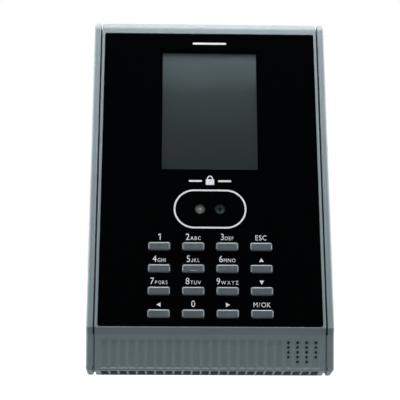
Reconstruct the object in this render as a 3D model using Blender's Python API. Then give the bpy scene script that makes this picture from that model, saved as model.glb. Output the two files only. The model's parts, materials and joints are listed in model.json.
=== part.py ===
"""Wall terminal with a keypad, a small screen and a twin-lens camera.

The terminal is a flat front tray, whose face leans back from the wall, on a wedge-shaped rear
cover that hooks onto a steel wall plate. +X is to the viewer's right, +Y runs into the wall and
+Z is up. The origin is on the wall, at half the terminal's height.

Two empties hold the pieces. Under `face_frame` the local axes are u (right), w (inwards, square
to the tilted face) and v (up along the face), from the line where the face meets the chin. Under
`wall_frame` they are the world's axes, and y = 0 is the wall.
"""

import math

import bmesh
import bpy
from mathutils import Vector

# ---------------------------------------------------------------- driving dimensions, in mm
TILT = math.radians(19.0)  # the face leans back from the wall's plane
OVERALL_WIDTH = 108.2
BODY_DEPTH = 72.0  # from the wall to the bend between face and chin
BEND_HEIGHT = -59.9  # height of the bend in the wall frame
FACE_LENGTH = 150.0  # the face, from the bend to the top edge
CHIN_DROP = 16.9  # the upright chin, from the bend down to the underside
CHIN_SETBACK = 1.3  # the chin stands this far behind the bend line
BEND_LIP = 1.6  # the face ends this far above the bend line
LIP_DROP = 1.4  # and the chin begins this far below it
TRAY_DEPTH = 18.0  # front tray, square to the face
WALL = 2.0  # thickness of the plastic shells
GAP = 0.3  # between neighbouring pieces

COVER_HALF = 50.35  # front cover, half its width
CHEEK_INNER = 51.1  # each cheek begins here and ends at the overall width
CHEEK_CHIN_INNER = COVER_HALF + GAP
GROOVE_DEPTH = 5.0  # shadow groove between cover and cheek
TOP_ROUND = 4.8  # radius of the top front edge
FOOT_ROUND = 2.0  # the chin turns into the underside over this length

PANEL_HALF = 49.0
PANEL_BOTTOM = 2.3
PANEL_TOP = 143.2
PANEL_FRONT = 0.35  # set back from the bezel
PANEL_THICK = 1.5
PANEL_CORNER = 1.0
SEAT_DEPTH = PANEL_FRONT + PANEL_THICK + GAP  # floor of the recess that holds the panel
FLOOR_THICK = 1.6

SCREEN_CENTRE = 104.0
SCREEN_HALF_U = 25.0
SCREEN_HALF_V = 34.5

KEY_COLUMNS = 4
KEY_ROWS = 4
KEY_PITCH_U = 15.08
KEY_PITCH_V = 10.2
KEY_TOP_ROW = 38.5
KEY_HALF_U = 4.8
KEY_HALF_V = 1.85
KEY_CORNER = 0.8
KEY_PROUD = 0.75  # the caps stand this far above the panel
KEY_TRAVEL = 0.8
KEY_FLANGE = 0.75
KEY_NAMES = (
    ("key_1", "key_2", "key_3", "key_escape"),
    ("key_4", "key_5", "key_6", "key_up"),
    ("key_7", "key_8", "key_9", "key_down"),
    ("key_left", "key_0", "key_right", "key_ok"),
)

CAMERA_HEIGHT = 56.9
LENS_OFFSET = 4.5
LENS_RADIUS = 2.3
BARREL_RADIUS = 3.5

FLUTE_PITCH = 4.0
FLUTE_COUNT = 24
SPEAKER_CENTRE_U = 40.0
SPEAKER_COLUMNS = (4, 5, 5, 4)  # holes in each column
HOLE_PITCH_Z = 2.1
HOLE_RADIUS = 0.55
TOP_HOLE_DROP = 4.9
SLOT_HALF = 1.45  # vent slots in the underside
SLOT_START = 2.8  # behind the foot of the chin
SLOT_RIM = 0.8  # left standing behind the slots
FOOT_GROOVE = 1.3  # width of the groove that joins the rear ends of the slots

REAR_HALF = 51.0
REAR_BOTTOM = -14.2  # lower and upper ends of the rear cover's front edge, along the face
REAR_TOP = 148.8
REAR_FLOOR_OUTER = -2.8  # the back floor, measured from the wall
REAR_FLOOR_INNER = -5.0
SCREW_U = 44.0
SCREW_HEIGHTS = (8.0, 118.0)  # above the bend
PLATE_HALF = 38.0
PLATE_BOTTOM = -14.0  # above the bend
PLATE_TOP = 112.0
PLATE_THICK = 1.5
LOCK_SCREW_Y = -11.0
LOCK_HEAD_SUNK = 2.3

MM = 0.001
ROUND_STEPS = 20


# ---------------------------------------------------------------- scene and materials
def clear_scene():
    for obj in list(bpy.data.objects):
        bpy.data.objects.remove(obj, do_unlink=True)


def material(name, colour, roughness, metallic=0.0):
    made = bpy.data.materials.new(name)
    made.use_nodes = True
    shader = made.node_tree.nodes["Principled BSDF"]
    shader.inputs["Base Color"].default_value = (*colour, 1.0)
    shader.inputs["Roughness"].default_value = roughness
    shader.inputs["Metallic"].default_value = metallic
    return made


def empty(name, location, tilt=0.0):
    made = bpy.data.objects.new(name, None)
    made.location = Vector(location) * MM
    made.rotation_euler = (-tilt, 0.0, 0.0)
    bpy.context.scene.collection.objects.link(made)
    return made


# ---------------------------------------------------------------- shapes
def new_object(name, mesh_builder, parent, look, at=(0.0, 0.0, 0.0)):
    """An object from a bmesh whose points are in mm, placed `at` in its parent's frame."""
    mesh = bpy.data.meshes.new(name)
    bmesh.ops.recalc_face_normals(mesh_builder, faces=mesh_builder.faces)
    bmesh.ops.scale(mesh_builder, vec=(MM, MM, MM), verts=mesh_builder.verts)
    mesh_builder.to_mesh(mesh)
    mesh_builder.free()
    made = bpy.data.objects.new(name, mesh)
    made.parent = parent
    made.location = Vector(at) * MM
    if look:
        mesh.materials.append(look)
    bpy.context.scene.collection.objects.link(made)
    return made


def add_rings(builder, rings):
    """Closes a solid around a stack of rings, which all hold the same number of points."""
    rows = []
    for ring in rings:
        rows.append([builder.verts.new(point) for point in ring])
    count = len(rows[0])
    for low, high in zip(rows, rows[1:]):
        for i in range(count):
            j = (i + 1) % count
            builder.faces.new((low[i], low[j], high[j], high[i]))
    builder.faces.new(rows[0][::-1])
    builder.faces.new(rows[-1])


def add_box(builder, low, high):
    corners = [(low[0], low[2]), (high[0], low[2]), (high[0], high[2]), (low[0], high[2])]
    rings = [[(x, y, z) for x, z in corners] for y in (low[1], high[1])]
    add_rings(builder, rings)


def circle(radius, centre=(0.0, 0.0), steps=ROUND_STEPS):
    turns = [2 * math.pi * i / steps for i in range(steps)]
    return [(centre[0] + radius * math.cos(a), centre[1] + radius * math.sin(a)) for a in turns]


def rounded_rectangle(half_x, half_z, radius, centre=(0.0, 0.0), steps=3):
    points = []
    for quarter, (side_x, side_z) in enumerate(((1, 1), (-1, 1), (-1, -1), (1, -1))):
        for i in range(steps + 1):
            angle = math.pi / 2 * (quarter + i / steps)
            x = side_x * (half_x - radius) + radius * math.cos(angle)
            z = side_z * (half_z - radius) + radius * math.sin(angle)
            points.append((centre[0] + x, centre[1] + z))
    return points


def stack(name, layers, parent, look, at=(0.0, 0.0, 0.0)):
    """A solid from (depth, outline) layers, with each outline in the plane square to the depth."""
    builder = bmesh.new()
    add_rings(builder, [[(x, depth, z) for x, z in outline] for depth, outline in layers])
    return new_object(name, builder, parent, look, at)


def slab(name, outline, front, back, parent, look, at=(0.0, 0.0, 0.0)):
    return stack(name, ((front, outline), (back, outline)), parent, look, at)


def turned(name, profile, parent, look, at=(0.0, 0.0, 0.0), steps=ROUND_STEPS):
    """A turned piece from (depth, radius) pairs, on an axis along the depth."""
    made = stack(name, [(depth, circle(radius, steps=steps)) for depth, radius in profile], parent, look, at)
    made.data.shade_smooth()
    made.data.set_sharp_from_angle(angle=math.radians(30))
    return made


def box(name, low, high, parent, look, at=(0.0, 0.0, 0.0)):
    builder = bmesh.new()
    add_box(builder, low, high)
    return new_object(name, builder, parent, look, at)


def boxes(name, corners, parent):
    """A cutter of separate boxes."""
    builder = bmesh.new()
    for low, high in corners:
        add_box(builder, low, high)
    return new_object(name, builder, parent, None)


def rods(name, centres, radius, front, back, parent, steps=12):
    """A cutter of separate rods along the depth."""
    builder = bmesh.new()
    for centre in centres:
        outline = circle(radius, centre, steps)
        add_rings(builder, [[(x, depth, z) for x, z in outline] for depth in (front, back)])
    return new_object(name, builder, parent, None)


def combine(target, tool, operation):
    """Adds a Boolean modifier, and hides the tool from the finished part."""
    step = target.modifiers.new(tool.name, "BOOLEAN")
    step.operation = operation
    step.object = tool
    step.solver = "EXACT"
    tool.hide_render = True
    tool.display_type = "WIRE"


def subtract(target, tool):
    combine(target, tool, "DIFFERENCE")


def unite(target, tool):
    combine(target, tool, "UNION")


# ---------------------------------------------------------------- front shell
def face_from_upright(depth, height):
    """(w, v) of a point given behind and above the bend in the upright frame."""
    return (
        depth * math.cos(TILT) - height * math.sin(TILT),
        depth * math.sin(TILT) + height * math.cos(TILT),
    )


def upright_from_face(w, v):
    return (
        w * math.cos(TILT) + v * math.sin(TILT),
        v * math.cos(TILT) - w * math.sin(TILT),
    )


def chin_point(height, behind=0.0):
    """(w, v) on the chin's plane, or on a plane behind it."""
    return face_from_upright(CHIN_SETBACK + behind, height)


def foot_turn(steps):
    """The smooth turn from the chin into the underside."""
    corner = Vector(chin_point(-CHIN_DROP))
    start = Vector(chin_point(-CHIN_DROP + FOOT_ROUND))
    end = corner + Vector((FOOT_ROUND, 0.0))
    points = []
    for i in range(steps + 1):
        t = i / steps
        points.append(tuple((1 - t) ** 2 * start + 2 * t * (1 - t) * corner + t * t * end))
    return points


def side_outline():
    """(w, v) outline of the tray seen from the side, anticlockwise from the back of its top."""
    top = FACE_LENGTH
    arc = []
    for i in range(6):
        angle = math.pi / 2 * i / 5
        arc.append((TOP_ROUND * (1 - math.sin(angle)), top - TOP_ROUND * (1 - math.cos(angle))))
    foot_w, foot_v = chin_point(-CHIN_DROP)
    return [
        (TRAY_DEPTH, top),
        *arc,
        (0.25, BEND_LIP + 0.25),
        (0.25, BEND_LIP - 0.15),
        chin_point(-LIP_DROP),
        *foot_turn(4),
        (TRAY_DEPTH, foot_v),
    ]


def shrunk(outline, inwards, along):
    """The outline pulled back from the face by `inwards`, and from its two ends by `along`."""
    low = min(v for _, v in outline)
    high = max(v for _, v in outline)
    middle = (low + high) / 2
    scale_w = 1 - inwards / TRAY_DEPTH
    scale_v = 1 - along / ((high - low) / 2)
    return [(TRAY_DEPTH - (TRAY_DEPTH - w) * scale_w, middle + (v - middle) * scale_v) for w, v in outline]


def across(name, sections, parent, look):
    """A solid from (u, outline) sections, with each outline as (w, v) points."""
    builder = bmesh.new()
    add_rings(builder, [[(u, w, v) for w, v in outline] for u, outline in sections])
    return new_object(name, builder, parent, look)


def cavity_outline():
    floor = SEAT_DEPTH + FLOOR_THICK
    back = TRAY_DEPTH + 2.0
    foot = chin_point(-CHIN_DROP)[1] + WALL
    roof = FACE_LENGTH - WALL - 0.2
    chin_inside = CHIN_SETBACK + WALL

    def on_chin_at_v(v):
        return ((chin_inside - v * math.sin(TILT)) / math.cos(TILT), v)

    def on_chin_at_w(w):
        return (w, (chin_inside - w * math.cos(TILT)) / math.sin(TILT))

    return [(back, roof), (floor, roof), on_chin_at_w(floor), on_chin_at_v(foot), (back, foot)]


def front_cover(face, look):
    outline = side_outline()
    edge = 0.75
    sections = (
        (-COVER_HALF, shrunk(outline, 0.35, 1.2)),
        (-COVER_HALF + edge, outline),
        (COVER_HALF - edge, outline),
        (COVER_HALF, shrunk(outline, 0.35, 1.2)),
    )
    cover = across("front_cover", sections, face, look)
    inner = COVER_HALF - WALL
    cavity = across("cavity_tool", [(u, cavity_outline()) for u in (-inner, inner)], face, None)
    subtract(cover, cavity)
    subtract(cover, panel_seat_tool(face))
    subtract(cover, window_tool(face))
    unite(cover, post_tool(face))
    subtract(cover, pilot_hole_tool(face))
    subtract(cover, flute_tool(face))
    subtract(cover, speaker_hole_tool(face))
    subtract(cover, underside_slot_tool(face))
    subtract(cover, foot_groove_tool(face))
    return cover


def panel_seat_tool(face):
    middle = (PANEL_BOTTOM + PANEL_TOP) / 2
    half_v = (PANEL_TOP - PANEL_BOTTOM) / 2 + 0.15
    outline = rounded_rectangle(PANEL_HALF + 0.15, half_v, PANEL_CORNER, (0.0, middle))
    return slab("panel_seat_tool", outline, -2.0, SEAT_DEPTH, face, None)


def window_tool(face):
    """Openings in the tray's floor, behind the panel."""
    front = SEAT_DEPTH - 0.5
    back = SEAT_DEPTH + FLOOR_THICK + 0.5
    openings = (
        (SCREEN_HALF_U + 1.0, SCREEN_CENTRE - SCREEN_HALF_V - 0.6, SCREEN_CENTRE + SCREEN_HALF_V + 0.6),
        (20.0, 47.0, 66.0),
        (30.0, 4.2, 44.0),
    )
    corners = [((-half, front, low), (half, back, high)) for half, low, high in openings]
    return boxes("window_tool", corners, face)


def screw_places():
    return [(side * SCREW_U, height) for height in SCREW_HEIGHTS for side in (-1, 1)]


def along_depth_from_face(builder, centre, radius, front, back, steps=12):
    """A rod square to the wall, written in the face frame."""
    rings = []
    for depth in (front, back):
        ring = []
        for x, height in circle(radius, centre, steps):
            w, v = face_from_upright(depth, height)
            ring.append((x, w, v))
        rings.append(ring)
    add_rings(builder, rings)


def post_front(height, radius):
    """Depth at which a post starts, so that its whole end stays behind the panel's recess."""
    start = SEAT_DEPTH + 0.25
    return (start + (height + radius) * math.sin(TILT)) / math.cos(TILT)


def post_tool(face):
    builder = bmesh.new()
    radius = 3.2
    for centre in screw_places():
        back = BODY_DEPTH + REAR_FLOOR_INNER - GAP
        along_depth_from_face(builder, centre, radius, post_front(centre[1], radius), back)
    return new_object("post_tool", builder, face, None)


def pilot_hole_tool(face):
    builder = bmesh.new()
    back = BODY_DEPTH + REAR_FLOOR_INNER + 1.0
    for centre in screw_places():
        along_depth_from_face(builder, centre, 1.55, back - 16.0, back, 10)
    return new_object("pilot_hole_tool", builder, face, None)


def flute_places():
    first = -FLUTE_PITCH * (FLUTE_COUNT - 1) / 2
    return [first + FLUTE_PITCH * i for i in range(FLUTE_COUNT)]


def flute_tool(face):
    """Shallow round-bottomed flutes down the chin."""
    builder = bmesh.new()
    half = 1.7
    depth = 0.28
    top = -3.0
    bottom = -CHIN_DROP + FOOT_ROUND + 0.1
    for centre in flute_places():
        rings = []
        for height in (bottom, top):
            ring = []
            for i in range(5):
                x = half * (i - 2) / 2
                inwards = depth * (1 - (x / half) ** 2)
                ring.append((centre + x, *chin_point(height, inwards)))
            ring.append((centre + half, *chin_point(height, -0.5)))
            ring.append((centre - half, *chin_point(height, -0.5)))
            rings.append(ring)
        add_rings(builder, rings)
    return new_object("flute_tool", builder, face, None)


def speaker_holes():
    """(u, height) of each hole, in four columns that share their top row."""
    places = []
    for column, count in enumerate(SPEAKER_COLUMNS):
        u = SPEAKER_CENTRE_U + FLUTE_PITCH * (column - 1.5)
        places += [(u, -TOP_HOLE_DROP - HOLE_PITCH_Z * row) for row in range(count)]
    return places


def speaker_hole_tool(face):
    builder = bmesh.new()
    for centre in speaker_holes():
        along_depth_from_face(builder, centre, HOLE_RADIUS, 0.2, CHIN_SETBACK + WALL + 1.5, 8)
    return new_object("speaker_hole_tool", builder, face, None)


def underside_slot_tool(face):
    """Vent slots along the underside, one below each flute."""
    foot_w, foot_v = chin_point(-CHIN_DROP)
    corners = []
    for centre in flute_places():
        low = (centre - SLOT_HALF, foot_w + SLOT_START, foot_v - 1.0)
        high = (centre + SLOT_HALF, TRAY_DEPTH - SLOT_RIM, foot_v + WALL + 1.0)
        corners.append((low, high))
    return boxes("underside_slot_tool", corners, face)


def foot_groove_tool(face):
    """A shallow groove across the underside, over the rear ends of the slots."""
    foot_v = chin_point(-CHIN_DROP)[1]
    half = flute_places()[-1] + SLOT_HALF
    back = TRAY_DEPTH - SLOT_RIM
    low = (-half, back - FOOT_GROOVE, foot_v - 1.0)
    return box("foot_groove_tool", low, (half, back, foot_v + 0.8), face, None)


def cheek(name, side, face, look):
    """Side trim: a rounded plate outside the shadow groove, and a land that closes the chin seam."""
    outline = side_outline()
    outer = OVERALL_WIDTH / 2
    radius = 1.3
    sections = [(CHEEK_INNER, shrunk(outline, 0.35, 1.2)), (CHEEK_INNER + 0.75, outline)]
    for i in range(5):
        angle = math.pi / 2 * i / 4
        inset = radius * (1 - math.cos(angle))
        sections.append((outer - radius + radius * math.sin(angle), shrunk(outline, inset, inset)))
    piece = across(name, [(side * u, points) for u, points in sections], face, look)
    land = shrunk(outline, GROOVE_DEPTH, 1.2)
    land_sections = [(side * u, land) for u in (CHEEK_CHIN_INNER, CHEEK_INNER + 0.5)]
    unite(piece, across(f"{name}_land_tool", land_sections, face, None))
    chin = chin_land_outline()
    chin_sections = [(side * u, chin) for u in (CHEEK_CHIN_INNER, CHEEK_INNER + 0.6)]
    unite(piece, across(f"{name}_chin_tool", chin_sections, face, None))
    return piece


def chin_land_outline():
    """(w, v) outline of the part of the cheek that stands close to the chin."""
    foot_v = chin_point(-CHIN_DROP)[1] + 1.2
    inside = 0.3
    return [
        (GROOVE_DEPTH + 2.0, chin_point(-LIP_DROP - 0.1)[1]),
        chin_point(-LIP_DROP - 0.1, inside),
        chin_point(-CHIN_DROP + 1.6, inside),
        (TRAY_DEPTH - 1.0, foot_v),
    ]


def key_centres():
    """(name, u, v) of each key."""
    found = []
    for row, names in enumerate(KEY_NAMES):
        for column, name in enumerate(names):
            u = (column - (KEY_COLUMNS - 1) / 2) * KEY_PITCH_U
            found.append((name, u, KEY_TOP_ROW - row * KEY_PITCH_V))
    return found


def front_panel(face, look):
    middle = (PANEL_BOTTOM + PANEL_TOP) / 2
    half_v = (PANEL_TOP - PANEL_BOTTOM) / 2
    outline = rounded_rectangle(PANEL_HALF, half_v, PANEL_CORNER, (0.0, middle))
    panel = slab("front_panel", outline, PANEL_FRONT, PANEL_FRONT + PANEL_THICK, face, look)
    half_u = KEY_HALF_U + GAP
    half_key_v = KEY_HALF_V + GAP
    corners = []
    for _, u, v in key_centres():
        corners.append(((u - half_u, -1.0, v - half_key_v), (u + half_u, 4.0, v + half_key_v)))
    subtract(panel, boxes("key_hole_tool", corners, face))
    return panel


# ---------------------------------------------------------------- keypad
def key(name, u, v, face, look):
    """A cap with a flange behind the panel. Its origin is on the joint's axis."""
    front = PANEL_FRONT - KEY_PROUD
    flange_front = PANEL_FRONT + PANEL_THICK + GAP
    edge = 0.35
    cap = rounded_rectangle(KEY_HALF_U, KEY_HALF_V, KEY_CORNER, steps=2)
    top = rounded_rectangle(KEY_HALF_U - edge, KEY_HALF_V - edge, KEY_CORNER - edge, steps=2)
    flange = rounded_rectangle(KEY_HALF_U + KEY_FLANGE, KEY_HALF_V + KEY_FLANGE, KEY_CORNER, steps=2)
    layers = (
        (front, top),
        (front + edge, cap),
        (flange_front, cap),
        (flange_front, flange),
        (flange_front + 1.0, flange),
    )
    made = stack(name, layers, face, look, at=(u, 0.0, v))
    if name == "key_5":
        low = (-1.6, front - 0.25, -1.4)
        high = (1.6, front + 0.5, -1.0)
        bar = box("locating_bar_tool", low, high, face, None, (u, 0.0, v))
        unite(made, bar)
    return made


def keypad_stack(face, looks):
    mat_front = PANEL_FRONT + PANEL_THICK + GAP + 1.0 + KEY_TRAVEL + 0.15
    middle = KEY_TOP_ROW - KEY_PITCH_V * (KEY_ROWS - 1) / 2
    mat = rounded_rectangle(29.0, 19.3, 2.0, (0.0, middle))
    slab("keypad_mat", mat, mat_front, mat_front + 1.2, face, looks["silicone"])
    board = rounded_rectangle(31.0, 20.5, 1.0, (0.0, middle))
    board_front = mat_front + 1.2 + GAP
    slab("keypad_board", board, board_front, board_front + 1.6, face, looks["board"])
    reader = rounded_rectangle(34.0, 19.5, 1.5, (0.0, middle + 0.8))
    slab("card_reader_board", reader, board_front + 2.8, board_front + 4.0, face, looks["board"])


# ---------------------------------------------------------------- screen
def screen(face, looks):
    """The display cell in its opening, and its steel tray behind the floor."""
    glass = rounded_rectangle(SCREEN_HALF_U, SCREEN_HALF_V, 0.5, (0.0, SCREEN_CENTRE), steps=1)
    slab("screen_glass", glass, SEAT_DEPTH + 0.05, SEAT_DEPTH + 1.55, face, looks["screen"])
    front = SEAT_DEPTH + FLOOR_THICK + GAP
    tray = rounded_rectangle(SCREEN_HALF_U + 1.5, SCREEN_HALF_V + 1.5, 1.0, (0.0, SCREEN_CENTRE), steps=2)
    slab("screen_tray", tray, front, front + 2.6, face, looks["steel"])


# ---------------------------------------------------------------- camera
def camera(face, looks):
    middle = (0.0, 0.0, CAMERA_HEIGHT)
    holder = box("camera_holder", (-9.5, 4.6, -7.0), (9.5, 9.4, 7.0), face, looks["black"], middle)
    centres = [(side * LENS_OFFSET, CAMERA_HEIGHT) for side in (-1, 1)]
    subtract(holder, rods("barrel_hole_tool", centres, BARREL_RADIUS + GAP, 3.0, 11.0, face, 20))
    for name, side in (("left", -1), ("right", 1)):
        place = (side * LENS_OFFSET, 0.0, CAMERA_HEIGHT)
        barrel(f"{name}_lens_barrel", face, looks["black"], place)
        dome = ((2.55, 0.7), (2.7, 1.6), (3.0, LENS_RADIUS), (4.4, LENS_RADIUS))
        turned(f"{name}_lens", dome, face, looks["lens"], place, 16)
        lamp_profile = ((2.7, 0.8), (3.1, 1.8), (3.9, 2.4), (6.6, 2.4), (6.6, 2.9), (7.8, 2.9))
        lamp_place = (side * 13.2, 0.0, CAMERA_HEIGHT)
        turned(f"{name}_infrared_lamp", lamp_profile, face, looks["lamp"], lamp_place, 12)
    outline = rounded_rectangle(20.0, 9.0, 1.0, (0.0, CAMERA_HEIGHT), steps=1)
    slab("camera_board", outline, 10.2, 11.4, face, looks["board"])


def barrel(name, face, look, place):
    """A lens barrel: a tube with a closed back, whose front recess holds the lens."""
    profile = (
        (4.7, LENS_RADIUS + GAP),
        (2.3, LENS_RADIUS + GAP),
        (2.3, BARREL_RADIUS),
        (9.9, BARREL_RADIUS),
    )
    turned(name, profile, face, look, place)


# ---------------------------------------------------------------- electronics on the main board
def main_board(face, looks):
    outline = rounded_rectangle(39.0, 50.0, 1.5, (0.0, 60.0))
    board = slab("main_board", outline, 12.6, 14.2, face, looks["board"])
    holes = [(side * 35.5, 60.0 + end * 46.0) for side in (-1, 1) for end in (-1, 1)]
    subtract(board, rods("board_hole_tool", holes, 1.7, 12.0, 15.0, face))
    profile = ((10.0, 1.2), (14.5, 1.2), (14.5, 2.8), (16.3, 2.2))
    for name, (u, v) in (("left_board_screw", holes[1]), ("right_board_screw", holes[3])):
        turned(name, profile, face, looks["steel"], (u, 0.0, v), 12)


def heat_sink(face, look):
    base = 14.5
    sink = box("heat_sink", (-10.0, base, -10.0), (10.0, base + 7.0, 10.0), face, look, (-14.0, 0.0, 82.0))
    fin_pitch = 2.6
    corners = []
    for i in range(-3, 4):
        middle = -14.0 + i * fin_pitch
        corners.append(((middle - 0.8, base + 1.8, 71.0), (middle + 0.8, base + 8.0, 93.0)))
    subtract(sink, boxes("fin_gap_tool", corners, face))


def network_jack(face, look):
    base = 14.5
    jack = box("network_jack", (-8.0, base, -8.0), (8.0, base + 13.5, 8.0), face, look, (14.0, 0.0, 22.0))
    subtract(jack, boxes("plug_hole_tool", [((8.2, base + 4.0, 16.5), (19.8, base + 14.0, 25.5))], face))


def terminal_block(name, ways, centre, face, look):
    """A row of wire entries that open towards the wall."""
    base = 14.5
    pitch = 5.08
    half = ways * pitch / 2 + 0.8
    block = box(name, (-half, base, -4.0), (half, base + 10.0, 4.0), face, look, (centre[0], 0.0, centre[1]))
    entries = []
    for i in range(ways):
        middle = centre[0] + (i - (ways - 1) / 2) * pitch
        low = (middle - 1.6, base + 5.0, centre[1] - 1.6)
        entries.append((low, (middle + 1.6, base + 11.0, centre[1] + 1.6)))
    subtract(block, boxes(f"{name}_entry_tool", entries, face))


def coin_cell(face, looks):
    place = (20.0, 0.0, 88.0)
    holder = turned("coin_cell_holder", ((14.5, 12.0), (18.8, 12.0)), face, looks["black"], place, 24)
    subtract(holder, rods("cell_seat_tool", [(place[0], place[2])], 10.4, 15.6, 20.0, face, 24))
    profile = ((15.9, 10.0), (18.6, 10.0), (18.6, 8.6), (19.1, 8.4))
    turned("coin_cell", profile, face, looks["steel"], place, 24)


def ribbon(name, u, width, points, face, look):
    """A flat cable of even thickness that follows (w, v) points."""
    thick = 0.3
    middle = [Vector(point) for point in points]
    sides = ([], [])
    for i, point in enumerate(middle):
        before = middle[max(i - 1, 0)]
        after = middle[min(i + 1, len(middle) - 1)]
        way = (after - before).normalized()
        normal = Vector((-way.y, way.x)) * thick / 2
        sides[0].append(tuple(point + normal))
        sides[1].append(tuple(point - normal))
    outline = sides[0] + sides[1][::-1]
    across(name, [(u - width / 2, outline), (u + width / 2, outline)], face, look)


def cables(face, look):
    """Two flat cables that turn back from a board onto the main board."""
    bends = ((7.3, 74.0), (8.2, 71.0), (10.6, 69.5), (11.9, 71.0), (12.2, 74.0))
    ribbon("screen_cable", 0.0, 18.0, bends, face, look)
    bends = ((8.0, 41.0), (8.2, 43.5), (9.6, 45.0), (11.4, 45.2), (12.2, 44.0))
    ribbon("keypad_cable", -18.0, 9.0, bends, face, look)


# ---------------------------------------------------------------- speaker, on the chin
def speaker(wall, looks):
    """The speaker and its foam ring, square to the upright chin."""
    back_of_chin = CHIN_SETBACK + WALL - BODY_DEPTH
    middle = BEND_HEIGHT - TOP_HOLE_DROP - 2 * HOLE_PITCH_Z
    place = (SPEAKER_CENTRE_U - 0.6, back_of_chin, middle)
    ring = slab("speaker_gasket", rounded_rectangle(8.0, 5.0, 2.0), 0.3, 1.2, wall, looks["foam"], place)
    hole = slab("gasket_hole_tool", rounded_rectangle(7.0, 4.4, 1.8), -1.0, 3.0, wall, None, place)
    subtract(ring, hole)
    layers = (
        (1.5, rounded_rectangle(8.0, 5.0, 2.0)),
        (4.6, rounded_rectangle(8.0, 5.0, 2.0)),
        (4.6, rounded_rectangle(6.0, 3.4, 1.6)),
        (5.8, rounded_rectangle(6.0, 3.4, 1.6)),
    )
    stack("speaker", layers, wall, looks["black"], place)


# ---------------------------------------------------------------- rear cover and wall plate
def wall_point(depth_from_bend, height_from_bend):
    return (depth_from_bend - BODY_DEPTH, height_from_bend + BEND_HEIGHT)


def rear_outline(inset, back, front=TRAY_DEPTH + GAP):
    """(y, z) outline of the wedge, whose front edge lies square to the face at depth `front`."""
    low_y, low_z = wall_point(*upright_from_face(front, REAR_BOTTOM))
    bottom = wall_point(*upright_from_face(TRAY_DEPTH + GAP, REAR_BOTTOM))[1] + inset
    top = wall_point(*upright_from_face(TRAY_DEPTH + GAP, REAR_TOP))[1] - inset
    return [
        (low_y + (top - low_z) * math.tan(TILT), top),
        (low_y + (bottom - low_z) * math.tan(TILT), bottom),
        (back, bottom),
        (back, top),
    ]


def rear_cover(wall, look):
    outer = rear_outline(0.0, -GAP)
    edge = 1.6
    narrow = rear_outline(edge, -GAP)
    sections = (
        (-REAR_HALF, narrow),
        (-REAR_HALF + edge, outer),
        (REAR_HALF - edge, outer),
        (REAR_HALF, narrow),
    )
    cover = across("rear_cover", sections, wall, look)
    inner = REAR_HALF - WALL
    hollow = rear_outline(WALL, REAR_FLOOR_INNER, TRAY_DEPTH - 2.0)
    subtract(cover, across("rear_cavity_tool", [(u, hollow) for u in (-inner, inner)], wall, None))
    bottom = outer[1][1] + WALL
    top = outer[0][1] - WALL
    recess = ((-inner, REAR_FLOOR_OUTER, bottom), (inner, 2.0, top))
    subtract(cover, boxes("plate_recess_tool", [recess], wall))
    unite(cover, lock_boss_tool(wall, bottom))
    subtract(cover, rear_opening_tool(wall, bottom))
    screw_holes = [(u, height + BEND_HEIGHT) for u, height in screw_places()]
    subtract(cover, rods("screw_clearance_tool", screw_holes, 1.8, -7.0, 0.0, wall))
    subtract(cover, side_vent_tool(wall))
    return cover


def tamper_place():
    return (0.0, BEND_HEIGHT + 84.0)


def rear_opening_tool(wall, bottom):
    """Cable outlet, hook slots, plate foot slot, tamper hole and lock screw hole."""
    builder = bmesh.new()
    floor = (REAR_FLOOR_INNER - 1.0, REAR_FLOOR_OUTER + 1.0)
    add_box(builder, (-22.0, floor[0], BEND_HEIGHT + 20.0), (22.0, floor[1], BEND_HEIGHT + 40.0))
    for side in (-1, 1):
        middle = side * 25.0
        low = (middle - 3.4, floor[0], BEND_HEIGHT + 99.0)
        add_box(builder, low, (middle + 3.4, floor[1], BEND_HEIGHT + 107.5))
    foot = BEND_HEIGHT + PLATE_BOTTOM
    add_box(builder, (-8.0, floor[0], foot - 0.6), (8.0, floor[1], foot + 2.6))
    u, height = tamper_place()
    outline = circle(1.6, (u, height), 12)
    add_rings(builder, [[(x, depth, z) for x, z in outline] for depth in floor])
    outside = bottom - WALL
    rings = []
    for rise, radius in ((-1.0, 3.4), (LOCK_HEAD_SUNK, 3.4), (LOCK_HEAD_SUNK, 1.9), (6.0, 1.9)):
        rings.append([(x, y, outside + rise) for x, y in circle(radius, (0.0, LOCK_SCREW_Y), 14)])
    add_rings(builder, rings)
    return new_object("rear_opening_tool", builder, wall, None)


def lock_boss_tool(wall, bottom):
    """Raised boss inside the bottom wall, thick enough for the lock screw's sunk head."""
    builder = bmesh.new()
    ring = circle(5.6, (0.0, LOCK_SCREW_Y), 16)
    add_rings(builder, [[(x, y, z) for x, y in ring] for z in (bottom - 1.0, bottom + 2.4)])
    return new_object("lock_boss_tool", builder, wall, None)


def side_vent_tool(wall):
    """Six upright vent slots through each side wall."""
    corners = []
    for side in (-1, 1):
        u = sorted((side * (REAR_HALF - WALL - 1.0), side * (REAR_HALF + 1.0)))
        for i in range(6):
            y = -14.0 - 5.0 * i
            corners.append(((u[0], y, BEND_HEIGHT + 12.0), (u[1], y + 2.0, BEND_HEIGHT + 34.0)))
    return boxes("side_vent_tool", corners, wall)


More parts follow.
